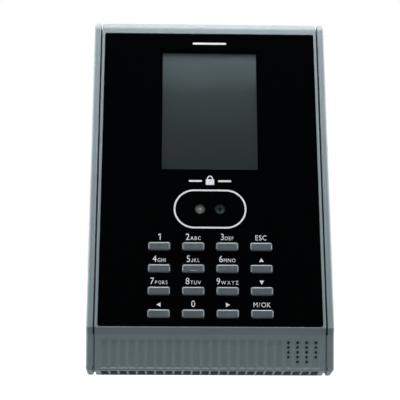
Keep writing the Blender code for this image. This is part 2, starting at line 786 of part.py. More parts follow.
def wall_plate(wall, look):
    """Steel plate with two hooks at the top and a foot at the bottom for the lock screw."""
    low = BEND_HEIGHT + PLATE_BOTTOM
    high = BEND_HEIGHT + PLATE_TOP
    outline = rounded_rectangle(PLATE_HALF, (high - low) / 2, 4.0, (0.0, (low + high) / 2))
    plate = slab("wall_plate", outline, -PLATE_THICK, 0.0, wall, look)
    tabs = bmesh.new()
    for side in (-1, 1):
        middle = side * 25.0
        hook = BEND_HEIGHT + 100.0
        rings = []
        for u in (middle - 2.5, middle + 2.5):
            points = ((-0.5, 0.0), (-0.5, 1.5), (-6.0, 1.5), (-6.0, 6.0), (-7.5, 6.0), (-7.5, 0.0))
            rings.append([(u, y, hook + z) for y, z in points])
        add_rings(tabs, rings)
    add_box(tabs, (-7.0, LOCK_SCREW_Y - 5.0, low), (7.0, -0.5, low + 1.5))
    unite(plate, new_object("plate_tab_tool", tabs, wall, None))
    cuts = bmesh.new()
    add_box(cuts, (-26.0, -4.0, BEND_HEIGHT + 16.0), (26.0, 2.0, BEND_HEIGHT + 44.0))
    for u in (-30.0, 30.0):
        for height in (6.0, 62.0, 90.0):
            hole = circle(2.2, (u, BEND_HEIGHT + height), 12)
            add_rings(cuts, [[(x, depth, z) for x, z in hole] for depth in (-4.0, 2.0)])
    lock = circle(1.9, (0.0, LOCK_SCREW_Y), 12)
    add_rings(cuts, [[(x, y, z) for x, y in lock] for z in (low - 2.0, low + 4.0)])
    subtract(plate, new_object("plate_hole_tool", cuts, wall, None))


def lock_screw(wall, look):
    """Its axis is vertical. Its head is sunk in the rear cover's underside."""
    head = rear_outline(0.0, 0.0)[1][1] + 0.2
    builder = bmesh.new()
    rings = []
    for z, radius in ((0.0, 2.4), (0.3, 2.8), (1.8, 2.8), (1.8, 1.4), (8.5, 1.4)):
        rings.append([(x, y, z) for x, y in circle(radius, steps=14)])
    add_rings(builder, rings)
    made = new_object("lock_screw", builder, wall, look, (0.0, LOCK_SCREW_Y, head))
    made.data.shade_smooth()
    made.data.set_sharp_from_angle(angle=math.radians(30))


def case_screws(wall, look):
    names = ("lower_left", "lower_right", "upper_left", "upper_right")
    profile = ((-17.0, 1.2), (-2.5, 1.2), (-2.5, 3.0), (-0.9, 3.0), (-0.6, 2.4))
    for name, (u, height) in zip(names, screw_places()):
        turned(f"{name}_case_screw", profile, wall, look, (u, 0.0, height + BEND_HEIGHT), 14)


def tamper_parts(wall, looks):
    """A sprung plunger that the wall plate holds in, and the switch that it works."""
    u, height = tamper_place()
    place = (u, 0.0, height)
    switch = box("tamper_switch", (-6.4, -13.0, -3.2), (6.4, -5.3, 3.2), wall, looks["black"], place)
    subtract(switch, rods("plunger_hole_tool", [(u, height)], 1.5, -11.5, -4.0, wall, 14))
    profile = ((-9.2, 1.2), (-2.1, 1.2), (-1.8, 0.9))
    turned("tamper_plunger", profile, wall, looks["ivory"], place, 14)


# ---------------------------------------------------------------- the whole terminal
def make_looks():
    return {
        "shell": material("shell_grey", (0.125, 0.155, 0.165), 0.42),
        "rear": material("rear_grey", (0.05, 0.055, 0.06), 0.55),
        "panel": material("panel_black", (0.004, 0.005, 0.006), 0.06),
        "screen": material("screen_grey", (0.06, 0.075, 0.07), 0.15),
        "key": material("key_silver", (0.21, 0.23, 0.24), 0.35, 0.4),
        "lens": material("lens_glass", (0.05, 0.07, 0.06), 0.03),
        "lamp": material("lamp_tint", (0.02, 0.01, 0.015), 0.1),
        "black": material("black_plastic", (0.012, 0.012, 0.013), 0.5),
        "silicone": material("grey_silicone", (0.18, 0.18, 0.18), 0.7),
        "board": material("board_green", (0.01, 0.09, 0.04), 0.4),
        "steel": material("zinc_steel", (0.55, 0.56, 0.57), 0.35, 1.0),
        "aluminium": material("black_aluminium", (0.08, 0.08, 0.085), 0.4, 0.9),
        "terminal": material("terminal_green", (0.02, 0.22, 0.06), 0.45),
        "relay": material("relay_blue", (0.02, 0.08, 0.3), 0.4),
        "foam": material("black_foam", (0.02, 0.02, 0.02), 0.95),
        "ivory": material("ivory_nylon", (0.75, 0.72, 0.6), 0.5),
        "cable": material("cable_amber", (0.45, 0.2, 0.03), 0.4),
    }


def build():
    clear_scene()
    looks = make_looks()
    wall = empty("wall_frame", (0.0, 0.0, 0.0))
    face = empty("face_frame", (0.0, -BODY_DEPTH, BEND_HEIGHT), TILT)
    front_cover(face, looks["shell"])
    cheek("left_cheek", -1, face, looks["shell"])
    cheek("right_cheek", 1, face, looks["shell"])
    front_panel(face, looks["panel"])
    for name, u, v in key_centres():
        key(name, u, v, face, looks["key"])
    keypad_stack(face, looks)
    screen(face, looks)
    camera(face, looks)
    main_board(face, looks)
    heat_sink(face, looks["aluminium"])
    network_jack(face, looks["steel"])
    terminal_block("power_terminal", 3, (-30.0, 18.0), face, looks["terminal"])
    terminal_block("lock_terminal", 4, (-7.0, 18.0), face, looks["terminal"])
    box("door_relay", (-7.5, 14.5, -9.5), (7.5, 29.5, 9.5), face, looks["relay"], (29.0, 0.0, 50.0))
    coin_cell(face, looks)
    cables(face, looks["cable"])
    speaker(wall, looks)
    rear_cover(wall, looks["rear"])
    wall_plate(wall, looks["steel"])
    lock_screw(wall, looks["steel"])
    case_screws(wall, looks["steel"])
    tamper_parts(wall, looks)


build()
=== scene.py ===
"""Looks of a wall access terminal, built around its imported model.

The visible shells, keys, panel, display, lenses, screws and wall plate are made again as fine
meshes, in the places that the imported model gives. The inner nodes stay and get materials.

Two frames are used, both in millimetres. In the face frame the axes are u (right), w (inwards,
square to the tilted face) and v (up along the face), from the bend between face and chin. In the
wall frame they are x (right), y (into the wall) and z (up), with y = 0 on the wall.
"""

import json
import math

import bmesh
import bpy
from mathutils import Matrix, Vector
from mathutils.geometry import delaunay_2d_cdt

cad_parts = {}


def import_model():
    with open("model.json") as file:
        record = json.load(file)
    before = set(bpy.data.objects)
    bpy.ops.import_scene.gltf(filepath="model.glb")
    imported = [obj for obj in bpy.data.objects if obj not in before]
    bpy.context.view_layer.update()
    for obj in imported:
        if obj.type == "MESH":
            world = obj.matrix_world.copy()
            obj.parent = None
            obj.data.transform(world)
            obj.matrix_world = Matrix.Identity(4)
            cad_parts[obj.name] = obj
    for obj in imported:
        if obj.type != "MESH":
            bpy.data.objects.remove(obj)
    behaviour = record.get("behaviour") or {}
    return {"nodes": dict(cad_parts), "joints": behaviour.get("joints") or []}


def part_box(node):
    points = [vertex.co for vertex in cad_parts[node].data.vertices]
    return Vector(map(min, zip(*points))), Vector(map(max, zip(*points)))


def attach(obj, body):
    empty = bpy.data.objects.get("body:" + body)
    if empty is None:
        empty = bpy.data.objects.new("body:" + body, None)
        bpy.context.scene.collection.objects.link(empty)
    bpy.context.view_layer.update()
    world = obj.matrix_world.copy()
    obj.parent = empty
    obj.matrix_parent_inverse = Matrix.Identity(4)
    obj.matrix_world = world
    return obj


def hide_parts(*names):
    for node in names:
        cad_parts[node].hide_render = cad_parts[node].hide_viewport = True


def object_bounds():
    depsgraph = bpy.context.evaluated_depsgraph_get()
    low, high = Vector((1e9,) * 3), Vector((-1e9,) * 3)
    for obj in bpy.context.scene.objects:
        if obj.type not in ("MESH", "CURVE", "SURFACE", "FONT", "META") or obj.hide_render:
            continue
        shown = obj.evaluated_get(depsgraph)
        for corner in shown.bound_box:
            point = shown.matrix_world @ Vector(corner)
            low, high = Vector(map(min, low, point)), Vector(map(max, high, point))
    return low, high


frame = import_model()
cad_low, cad_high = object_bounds()

# ---------------- sizes, in mm
MM = 0.001
FACE_LENGTH = 150.0  # from the bend to the top edge
CHIN_DROP = 16.9  # the upright chin, below the bend
CHIN_SETBACK = 1.3
BEND_LIP = 1.6  # the face ends this far above the bend
LIP_DROP = 1.4  # and the chin begins this far below it
BODY_DEPTH = 72.0  # from the wall to the bend
TRAY_DEPTH = 18.0  # of the front cover and cheeks, square to the face
WALL = 2.0
GAP = 0.3
TOP_ROUND = 4.8
FOOT_ROUND = 0.5
FOOT_LIP = 0.25  # the foot of the chin stands this far forward
SIDE_ROUND = 0.75  # edges along the shadow grooves
CHEEK_ROUND = 1.3  # outer edge of the cheeks
GROOVE_DEPTH = 5.0
FLOOR_THICK = 1.6
CAMERA_OPENING = (20.0, 47.0, 66.0)  # half width, then the heights up the face
KEYPAD_OPENING = (30.0, 4.2, 44.0)
POST_RADIUS = 3.2
PILOT_RADIUS = 1.55

PANEL_CORNER = 1.0
WINDOW_HALF_U = 21.9
WINDOW_HALF_V = 29.1
WINDOW_CENTRE = 104.75
LENS_OFFSET = 4.5
SPOT_HEIGHT = 56.65
SPOT_RADIUS = 2.25  # each clear spot in the printed panel
CLEAR_MARGIN = 1.0  # the front stays clear this far past the print on the back
RING_HEIGHT = 56.2
RING_HALF_U = 16.35
RING_HALF_V = 9.2
RING_LINE = 0.78
PADLOCK_HEIGHT = 69.0
TOP_BAR_HEIGHT = 138.3
INK = 0.03  # thickness of the print
KEY_FLANGE = 0.75  # around each cap, behind the panel
LENS_TINT_RADIUS = 2.3  # where the lens takes the full tint of its rim

FLUTE_PITCH = 4.0
FLUTE_COUNT = 24
FLUTE_HALF = 1.75
FLUTE_DEPTH = 0.55
FLUTE_TOP = -3.2
FLUTE_BOTTOM = -16.3
FLUTE_RUN_OUT = 2.8
FLUTE_END = 0.8
SLOT_HALF = 1.6
SLOT_START = 1.7  # behind the foot of the chin
SLOT_RIM = 0.5
FOOT_GROOVE = 1.3
SPEAKER_CENTRE_U = 40.0
SPEAKER_COLUMNS = (4, 5, 5, 4)  # holes in each
HOLE_PITCH = 2.1
HOLE_RADIUS = 0.55
TOP_HOLE_DROP = 4.9

REAR_BOTTOM = -14.2
REAR_TOP = 148.8
REAR_FLOOR_OUTER = -2.8
REAR_FLOOR_INNER = -5.0
REAR_ROUND = 1.6
VENT_COUNT = 6
VENT_PITCH = 5.0
PLATE_THICK = 1.5
LOCK_SCREW_Y = -11.0
# On the back, heights are above the bend and X is the distance from the middle.
VENT_HEIGHT = 23.0
OUTLET_HEIGHT = 30.0
HOOK_HEIGHT = 100.0
HOOK_X = 25.0
PLATE_HOLE_X = 30.0
PLATE_HOLE_HEIGHTS = (6.0, 62.0, 90.0)
CASE_SCREWS = [f"{end}_{side}_case_screw" for end in ("lower", "upper") for side in ("left", "right")]

KEYS = (
    "key_1", "key_2", "key_3", "key_escape",
    "key_4", "key_5", "key_6", "key_up",
    "key_7", "key_8", "key_9", "key_down",
    "key_left", "key_0", "key_right", "key_ok",
)
LETTERS = {f"key_{i}": signs for i, signs in enumerate("ABC DEF GHI JKL MNO PQRS TUV WXYZ".split(), 2)}
DIGIT_HEIGHT = 2.95
LETTER_HEIGHT = 1.65
LETTER_SPACE = 0.42
LETTER_WIDTH = 0.9  # against the built-in lettering
DRAWN_SIGNS = {  # outlines at height 1, for signs whose built-in shapes are too plain
    "1": ((0.24, 0.0), (0.38, 0.0), (0.38, 1.0), (0.27, 1.0), (0.0, 0.80), (0.0, 0.66), (0.24, 0.80)),
    "J": ((0.0, 0.30), (0.02, 0.12), (0.14, 0.0), (0.36, 0.0), (0.48, 0.12), (0.50, 0.30), (0.50, 1.0),
          (0.36, 1.0), (0.36, 0.30), (0.33, 0.16), (0.25, 0.13), (0.17, 0.16), (0.14, 0.30)),
}
WORDS = {"key_escape": ("ESC", 2.3), "key_ok": ("M/OK", 2.2)}
ARROWS = {"key_up": 90.0, "key_down": -90.0, "key_left": 180.0, "key_right": 0.0}

# ---------------- light and camera, in metres
FLOOR_HEIGHT = -0.4
FLOOR_REACH = 6.0
FRONT_LIGHT = 0.62
BACK_LIGHT = 1.4
LOW_SHARE = 1.15  # light from low down, against light from above
SIDE_GAIN = 1.3
NEAR_WATTS = 1.65
HIGH_WATTS = 1.8
SIDE_WATTS = 1.8
CAMERA_PLACE = (-0.0172, -0.5896, -0.0029)
CAMERA_YAW = -1.35
CAMERA_ROLL = -0.41
CAMERA_LENS = 107.6


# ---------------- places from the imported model
def press_axis():
    """The way a key travels, which is square to the face."""
    return next(joint["axis"] for joint in frame["joints"] if joint["name"] == "key_5_press")


TILT = math.asin(-press_axis()[2])
TO_FACE_AXES = Matrix.Rotation(TILT, 3, "X")


def turned_extent(node):
    """Lowest and highest corner of a node along the face's axes, in metres."""
    points = [TO_FACE_AXES @ vertex.co for vertex in frame["nodes"][node].data.vertices]
    low = Vector(min(point[i] for point in points) for i in range(3))
    high = Vector(max(point[i] for point in points) for i in range(3))
    return low, high


COVER_LOW, COVER_HIGH = turned_extent("front_cover")
FACE_ORIGIN = Vector((0.0, COVER_LOW.y, COVER_HIGH.z - FACE_LENGTH * MM))
FACE_FRAME = TO_FACE_AXES.inverted().to_4x4() @ Matrix.Translation(FACE_ORIGIN) @ Matrix.Scale(MM, 4)
WALL_FRAME = Matrix.Scale(MM, 4)
BEND_HEIGHT = (FACE_FRAME @ Vector((0.0, 0.0, 0.0))).z / MM


def face_box(node):
    """Lowest and highest corner of a node in the face frame."""
    low, high = turned_extent(node)
    return (low - FACE_ORIGIN) / MM, (high - FACE_ORIGIN) / MM


def wall_box(node):
    low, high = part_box(node)
    return low / MM, high / MM


def middle_of(corners):
    return (corners[0] + corners[1]) / 2


def radius_of(corners):
    return (corners[1].x - corners[0].x) / 2


COVER_HALF = face_box("front_cover")[1].x
OUTER_HALF = face_box("right_cheek")[1].x
CHEEK_SEAM = face_box("right_cheek")[0].x  # the cheek's land, closest to the cover
CHEEK_INNER = CHEEK_SEAM + 0.45
PANEL_LOW, PANEL_HIGH = face_box("front_panel")


# ---------------- outlines
def quarter_turn(steps):
    """Angles from nothing to a right angle."""
    return [math.pi / 2 * i / steps for i in range(steps + 1)]


def turned_about(along, aside, angle):
    """The point that lies `along` and `aside` of a line at this angle."""
    return (
        along * math.cos(angle) - aside * math.sin(angle),
        along * math.sin(angle) + aside * math.cos(angle),
    )


def circle(radius, centre=(0.0, 0.0), steps=48):
    turns = [2 * math.pi * i / steps for i in range(steps)]
    return [(centre[0] + radius * math.cos(a), centre[1] + radius * math.sin(a)) for a in turns]


def rounded_rectangle(half_x, half_z, radius, centre=(0.0, 0.0), steps=8):
    """Anticlockwise from the right-hand side. A radius equal to a half size gives a stadium."""
    points = []
    for quarter, (side_x, side_z) in enumerate(((1, 1), (-1, 1), (-1, -1), (1, -1))):
        for i in range(steps + 1):
            angle = math.pi / 2 * (quarter + i / steps)
            x = side_x * (half_x - radius) + radius * math.cos(angle)
            z = side_z * (half_z - radius) + radius * math.sin(angle)
            points.append((centre[0] + x, centre[1] + z))
    return points


def rectangle_shape(half_x, half_z, radius, centre=(0.0, 0.0), steps=8):
    """A rounded rectangle as a function of how far it is grown outwards."""
    return lambda by: rounded_rectangle(half_x + by, half_z + by, max(radius + by, 0.02), centre, steps)


def circle_shape(radius, centre, steps=48):
    return lambda by: circle(radius + by, centre, steps)


def holds(outline, point):
    """True if an anticlockwise convex outline holds the point."""
    for (ax, az), (bx, bz) in zip(outline, outline[1:] + outline[:1]):
        if (bx - ax) * (point[1] - az) - (bz - az) * (point[0] - ax) < 0:
            return False
    return True


# ---------------- meshes
def linked(obj):
    bpy.context.scene.collection.objects.link(obj)
    return obj


def join_rows(builder, rows):
    """Faces between each closed row of points and the next."""
    for low, high in zip(rows, rows[1:]):
        for i in range(len(low)):
            j = (i + 1) % len(low)
            builder.faces.new((low[i], low[j], high[j], high[i]))


def add_rings(builder, rings):
    """Closes a solid around a stack of rings, which all hold the same number of points."""
    rows = [[builder.verts.new(point) for point in ring] for ring in rings]
    join_rows(builder, rows)
    builder.faces.new(rows[0][::-1])
    builder.faces.new(rows[-1])


def prism(start, end, outline):
    """One outline at two places along an axis."""
    return (start, outline), (end, outline)


def rings_along_x(sections):
    """Rings from (x, outline) pairs."""
    return [[(x, y, z) for y, z in outline] for x, outline in sections]


def rings_along_y(layers, at=(0.0, 0.0, 0.0)):
    """Rings from (depth, outline) pairs."""
    return [[(at[0] + x, at[1] + y, at[2] + z) for x, z in outline] for y, outline in layers]


def rings_along_z(levels):
    """Rings from (height, outline) pairs."""
    return [[(x, y, z) for x, y in outline] for z, outline in levels]


def box_rings(low, high):
    corners = ((low[0], low[2]), (high[0], low[2]), (high[0], high[2]), (low[0], high[2]))
    return rings_along_y(prism(low[1], high[1], corners))


def finished_mesh(name, builder):
    """A mesh with its faces turned outwards."""
    bmesh.ops.recalc_face_normals(builder, faces=builder.faces)
    mesh = bpy.data.meshes.new(name)
    builder.to_mesh(mesh)
    builder.free()
    return mesh


def working_object(name, builder):
    return linked(bpy.data.objects.new(name, finished_mesh(name, builder)))


def solids(name, *stacks):
    """One object of closed solids, each around its own stack of rings."""
    builder = bmesh.new()
    for rings in stacks:
        add_rings(builder, rings)
    return working_object(name, builder)


def stack(name, layers, at=(0.0, 0.0, 0.0)):
    return solids(name, rings_along_y(layers, at))


def turned(name, profile, at=(0.0, 0.0, 0.0), steps=64):
    """A turned piece from (depth, radius) pairs."""
    return stack(name, [(depth, circle(radius, steps=steps)) for depth, radius in profile], at)


def across(name, sections):
    """A solid from (x, outline) sections, with each outline square to x."""
    return solids(name, rings_along_x(sections))


def sheet(name, outer, holes, front, back, chamfer=0.0, zones=(), margin=0.0):
    """A flat plate with holes through it and chamfered rims.

    `outer`, `holes` and `zones` are shapes as functions of growth. The caps inside a zone take
    the second material, and on the front each zone is grown by `margin`.
    """
    builder = bmesh.new()
    depths = ((front, chamfer), (front + chamfer, 0.0), (back - chamfer, 0.0), (back, chamfer))
    if not chamfer:
        depths = ((front, 0.0), (back, 0.0))
    ends = {front: [], back: []}
    for shape, sign in [(outer, -1.0)] + [(hole, 1.0) for hole in holes]:
        rows = []
        for depth, pulled in depths:
            rows.append([builder.verts.new((x, depth, z)) for x, z in shape(sign * pulled)])
        join_rows(builder, rows)
        ends[front].append(rows[0])
        ends[back].append(rows[-1])
    cut_out = [hole(chamfer) for hole in holes]
    for depth, rows in ends.items():
        marked = [zone(margin if depth == front else 0.0) for zone in zones]
        for zone in marked:
            rows.append([builder.verts.new((x, depth, z)) for x, z in zone])
        fill_cap(builder, rows, cut_out, marked)
    return working_object(name, builder)


def fill_cap(builder, rows, cut_out, marked):
    """Triangles between the rows of points, left out inside each hole."""
    points = [vertex for row in rows for vertex in row]
    flat = [Vector((vertex.co.x, vertex.co.z)) for vertex in points]
    edges = []
    start = 0
    for row in rows:
        edges += [(start + i, start + (i + 1) % len(row)) for i in range(len(row))]
        start += len(row)
    found = delaunay_2d_cdt(flat, edges, [], 1, 1e-6)
    sources = found[3]
    for face in found[2]:
        centre = sum((found[0][i] for i in face), Vector((0.0, 0.0))) / len(face)
        if any(holds(hole, centre) for hole in cut_out):
            continue
        made = builder.faces.new([points[sources[i][0]] for i in face])
        made.material_index = int(any(holds(zone, centre) for zone in marked))


def apply_modifiers(obj):
    graph = bpy.context.evaluated_depsgraph_get()
    mesh = bpy.data.meshes.new_from_object(obj.evaluated_get(graph), depsgraph=graph)
    obj.modifiers.clear()
    obj.data = mesh


def combine(target, tool, operation):
    step = target.modifiers.new("step", "BOOLEAN")
    step.operation = operation
    step.object = tool
    step.solver = "EXACT"
    apply_modifiers(target)
    bpy.data.objects.remove(tool, do_unlink=True)


def subtract(target, tool):
    combine(target, tool, "DIFFERENCE")


def unite(target, tool):
    combine(target, tool, "UNION")


def round_edges(obj, width):
    rounding = obj.modifiers.new("rounded_edges", "BEVEL")
    rounding.width = width
    rounding.segments = 2
    rounding.limit_method = "ANGLE"
    rounding.angle_limit = math.radians(40.0)


def finish_piece(obj, looks, stands_for, into=FACE_FRAME, body="terminal", edge=0.0, sharp=35.0):
    """Rounds the edges, shades the piece, puts it in place, hangs it on its body's empty and hides the node
    it stands for.

    `looks` holds the names of its looks, in the order of its material slots.
    """
    if edge:
        round_edges(obj, edge)
        apply_modifiers(obj)
    obj.data.shade_smooth()
    obj.data.set_sharp_from_angle(angle=math.radians(sharp))
    even = obj.modifiers.new("even_shading", "WEIGHTED_NORMAL")
    even.keep_sharp = True
    apply_modifiers(obj)
    obj.data.transform(into)
    for look in looks.split():
        obj.data.materials.append(LOOKS[look])
    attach(obj, body)
    if stands_for:
        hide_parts(stands_for)


# ---------------- material nodes
class Nodes:
    """Short calls for building a tree of shader nodes."""

    def __init__(self, tree):
        self.tree = tree

    def node(self, kind, values=None, **settings):
        made = self.tree.nodes.new(kind)
        for name, value in settings.items():
            setattr(made, name, value)
        for name, value in (values or {}).items():
            made.inputs[name].default_value = value
        return made

    def join(self, source, target):
        self.tree.links.new(source, target)

    def fed(self, sources, kind, values=None, **settings):
        """The outputs of a new node whose first inputs are fed by the sources."""
        made = self.node(kind, values, **settings)
        for source, target in zip(sources, made.inputs):
            self.join(source, target)
        return made.outputs

    def maths(self, operation, *sources):
        return self.fed(sources, "ShaderNodeMath", operation=operation)["Value"]

    def spread(self, source, low, high, from_low=0.3, from_high=0.7, **settings):
        """The source's usual range mapped onto low to high."""
        values = {"From Min": from_low, "From Max": from_high, "To Min": low, "To Max": high}
        return self.fed([source], "ShaderNodeMapRange", values, **settings)["Result"]

    def parts(self, vector):
        """The X, Y and Z outputs of a vector."""
        return self.fed([vector], "ShaderNodeSeparateXYZ")

    def blend(self, *sources):
        """A share, then two shaders: the second covers the first by that share."""
        return self.fed(sources, "ShaderNodeMixShader")["Shader"]


class Look(Nodes):
    """A Principled material, with its colour, roughness and bump fed by nodes."""

    def __init__(self, name, colour, roughness, metallic=0.0, **values):
        self.material = bpy.data.materials.new(name)
        self.material.use_nodes = True
        super().__init__(self.material.node_tree)
        self.shader = self.tree.nodes["Principled BSDF"]
        self.shader.inputs["Base Color"].default_value = (*colour, 1.0)
        self.shader.inputs["Roughness"].default_value = roughness
        self.shader.inputs["Metallic"].default_value = metallic
        for key, value in values.items():
            self.shader.inputs[key.replace("_", " ")].default_value = value
        self.place = self.node("ShaderNodeTexCoord").outputs["Object"]

    def texture(self, kind, values, place=None, **settings):
        """The outputs of a node that is fed by a place, which is the object's own unless given."""
        return self.fed([place or self.place], kind, values, **settings)

    def stretched(self, scale, turn=(0.0, 0.0, 0.0)):
        return self.texture("ShaderNodeMapping", {"Scale": scale, "Rotation": turn})["Vector"]

    def noise(self, size, detail=2.0, roughness=0.5, stretch=None):
        """Noise whose grains are about `size` millimetres across, before any stretch."""
        values = {"Scale": 1.0 / (size * MM), "Detail": detail, "Roughness": roughness}
        place = self.stretched(stretch) if stretch else self.place
        return self.texture("ShaderNodeTexNoise", values, place)["Fac"]

    def ramp(self, source, stops):
        made = self.node("ShaderNodeValToRGB")
        elements = made.color_ramp.elements
        while len(elements) < len(stops):
            elements.new(0.5)
        for element, (position, colour) in zip(elements, stops):
            element.position = position
            element.color = (*colour, 1.0)
        self.join(source, made.inputs["Fac"])
        return made.outputs["Color"]

    def mixed(self, share, first, second):
        """Two colours, or sources of colour, mixed. Sockets 6, 7 and 2 are the ones for colour."""
        made = self.node("ShaderNodeMix", data_type="RGBA")
        self.join(share, made.inputs[0])
        for socket, value in ((made.inputs[6], first), (made.inputs[7], second)):
            if isinstance(value, bpy.types.NodeSocket):
                self.join(value, socket)
            else:
                socket.default_value = (*value, 1.0)
        return made.outputs[2]

    def colour(self, source):
        self.join(source, self.shader.inputs["Base Color"])

    def clouded(self, colour, low, high, source):
        """The colour moves between two brightnesses as the source does."""
        share = self.spread(source, 0.0, 1.0)
        self.colour(self.mixed(share, scaled(colour, low), scaled(colour, high)))

    def rough(self, source):
        self.join(source, self.shader.inputs["Roughness"])

    def bump(self, source, depth):
        """Bump of `depth` millimetres."""
        made = self.node("ShaderNodeBump", {"Distance": depth * MM, "Strength": 1.0})
        self.join(source, made.inputs["Height"])
        self.join(made.outputs["Normal"], self.shader.inputs["Normal"])


def scaled(colour, share):
    return tuple(c * share for c in colour)


def textured(name, colour, roughness, metallic=0.0, *, relief, clouds=None, sheen=None, **values):
    """A material with uneven colour, sheen and relief.

    `clouds` and `sheen` start with the low and high value and `relief` with its depth. The
    numbers after that are the noise's: size, detail, roughness and stretch.
    """
    look = Look(name, colour, roughness, metallic, **values)
    if clouds:
        look.clouded(colour, *clouds[:2], look.noise(*clouds[2:]))
    if sheen:
        look.rough(look.spread(look.noise(*sheen[2:]), *sheen[:2]))
    look.bump(look.noise(*relief[1:]), relief[0])
    return look.material


def moulded(name, colour, roughness, grain, depth, vary=0.05):
    """Plastic from a textured mould: fine grain, faint clouding and an uneven sheen."""
    clouds = (1.0 - vary, 1.0 + vary, 14.0, 3.0)
    sheen = (roughness - 0.05, roughness + 0.06, 3.0, 4.0)
    return textured(name, colour, roughness, clouds=clouds, sheen=sheen, relief=(depth, grain, 3.0, 0.6))


def soft_rubber(name, colour, roughness):
    return textured(name, colour, roughness, clouds=(0.85, 1.1, 1.5, 3.0), relief=(0.05, 0.4, 3.0, 0.7))


def glossy_moulding(name, colour, roughness):
    sheen = (roughness - 0.04, roughness + 0.08, 2.5, 3.0)
    return textured(name, colour, roughness, sheen=sheen, relief=(0.01, 4.0, 2.0))


def white_ink():
    """Screen-printed ink, slightly uneven in cover."""
    white = (0.74, 0.76, 0.78)
    return textured("white_ink", white, 0.45, clouds=(0.9, 1.0, 0.25, 3.0), relief=(0.004, 0.2, 2.0))


def lacquer_silver():
    """Silver lacquer on the key caps: fine flakes under a satin coat."""
    return textured(
        "key_silver", (0.158, 0.196, 0.212), 0.34, 0.55,
        clouds=(0.88, 1.12, 0.09, 1.0), sheen=(0.28, 0.4, 1.8, 3.0), relief=(0.006, 0.16, 2.0),
        Coat_Weight=0.15, Coat_Roughness=0.2,
    )


def acrylic_black():
    """Clear acrylic printed black from behind, with faint wipe marks."""
    return textured(
        "panel_black", (0.0004, 0.0009, 0.0011), 0.06,
        sheen=(0.045, 0.085, 9.0, 4.0, 0.6, (1.0, 1.0, 0.35)), relief=(0.006, 22.0, 1.0),
        Specular_IOR_Level=0.42,
    )


def clear_window():
    """The clear part of the panel: it lets all through but for what its surface mirrors."""
    look = Look("clear_window", (1.0, 1.0, 1.0), 0.05)
    through = look.node("ShaderNodeBsdfTransparent", {"Color": (0.96, 0.975, 0.97, 1.0)})
    mirror = look.node("ShaderNodeBsdfGlossy", {"Roughness": 0.06})
    edge = look.node("ShaderNodeFresnel", {"IOR": 1.4})
    side = look.node("ShaderNodeNewGeometry")
    outside = look.spread(side.outputs["Backfacing"], 1.0, 0.0, 0.0, 1.0)
    share = look.maths("MULTIPLY", edge.outputs["Fac"], outside)
    mix = look.blend(share, through.outputs["BSDF"], mirror.outputs["BSDF"])
    look.join(mix, look.tree.nodes["Material Output"].inputs["Surface"])
    return look.material


def display_grey():
    """An unlit display with a painted sheen: its grey-green colour is painted lighter at the top and fades
    downwards, over a faint pixel grid.
    """
    look = Look("display_grey", (0.07, 0.085, 0.085), 0.38)
    low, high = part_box("screen_glass")
    up = look.spread(look.parts(look.place)["Z"], 0.0, 1.0, low.z, high.z)
    cloud = look.spread(look.noise(25.0, 2.0), -0.03, 0.03)
    # painted sheen: these stops darken the colour from the top of the display down to its bottom, standing
    # in for the light that it mirrors
    stops = (
        (0.05, (0.011, 0.018, 0.020)),
        (0.35, (0.015, 0.024, 0.027)),
        (0.65, (0.026, 0.041, 0.045)),
        (0.95, (0.098, 0.130, 0.142)),
    )
    look.colour(look.ramp(look.maths("ADD", up, cloud), stops))
    look.bump(look.noise(0.12, 1.0), 0.002)
    return look.material


def zinc_steel(name, colour, brushed):
    """Zinc-plated sheet: fine drawn lines under cloudy passivation."""
    lines = (1.2, 4.0, 0.6, brushed)
    clouds = (0.82, 1.06, 9.0, 4.0, 0.6)
    sheen = (0.27, 0.47, *lines)
    return textured(name, colour, 0.36, 1.0, clouds=clouds, sheen=sheen, relief=(0.01, *lines))


def anodised(name, colour):
    """Dyed aluminium with the lines of its drawing."""
    lines = (0.8, 3.0, 0.5, (6.0, 1.0, 1.0))
    return textured(name, colour, 0.42, 0.9, sheen=(0.34, 0.52, *lines), relief=(0.008, *lines))


def solder_mask(name):
    """A circuit board: green mask over copper runs, with bare pads."""
    look = Look(name, (0.008, 0.085, 0.035), 0.32)
    runs = look.texture("ShaderNodeTexBrick", {
        "Scale": 1.0,
        "Mortar Size": 0.00028,
        "Brick Width": 0.0053,
        "Row Height": 0.0012,
        "Color1": (0.006, 0.07, 0.03, 1.0),
        "Color2": (0.009, 0.09, 0.037, 1.0),
        "Mortar": (0.018, 0.16, 0.06, 1.0),
    }, look.stretched((1.0, 1.0, 1.0), (math.pi / 2 - TILT, 0.0, 0.0)), offset=0.37, squash=1.0)
    spacing = {"Scale": 260.0, "Randomness": 0.55}
    pads = look.texture("ShaderNodeTexVoronoi", spacing, feature="F1", distance="CHEBYCHEV")
    bare = look.spread(pads["Distance"], 1.0, 0.0, 0.11, 0.13)
    look.colour(look.mixed(bare, runs["Color"], (0.55, 0.5, 0.42)))
    look.rough(look.spread(look.noise(2.0, 3.0), 0.25, 0.4))
    look.bump(runs["Fac"], 0.02)
    return look.material


def lens_glass(side, rim, core, roughness):
    """Coated glass whose colour runs from the core out to the rim, in a speckle of two tints."""
    look = Look(f"{side}_lens_glass", rim, roughness, Coat_Weight=0.6, Coat_Roughness=0.04)
    low, high = face_box(f"{side}_lens")
    centre = Vector(((low.x + high.x) / 2, low.y, (low.z + high.z) / 2))
    away = look.texture("ShaderNodeVectorMath", {1: FACE_FRAME @ centre}, operation="DISTANCE")["Value"]
    across_lens = look.spread(away, 0.0, 1.0, 0.0, LENS_TINT_RADIUS * MM)
    middle = tuple((a + b) / 2 for a, b in zip(rim, core))
    tints = []
    for share in (1.25, 0.55):
        stops = [(at, scaled(colour, share)) for at, colour in ((0.15, core), (0.45, middle), (0.7, rim))]
        tints.append(look.ramp(across_lens, stops))
    look.colour(look.mixed(look.spread(look.noise(0.5, 3.0), 0.0, 1.0, 0.4, 0.6), *tints))
    look.bump(look.noise(0.5, 2.0), 0.01)
    return look.material


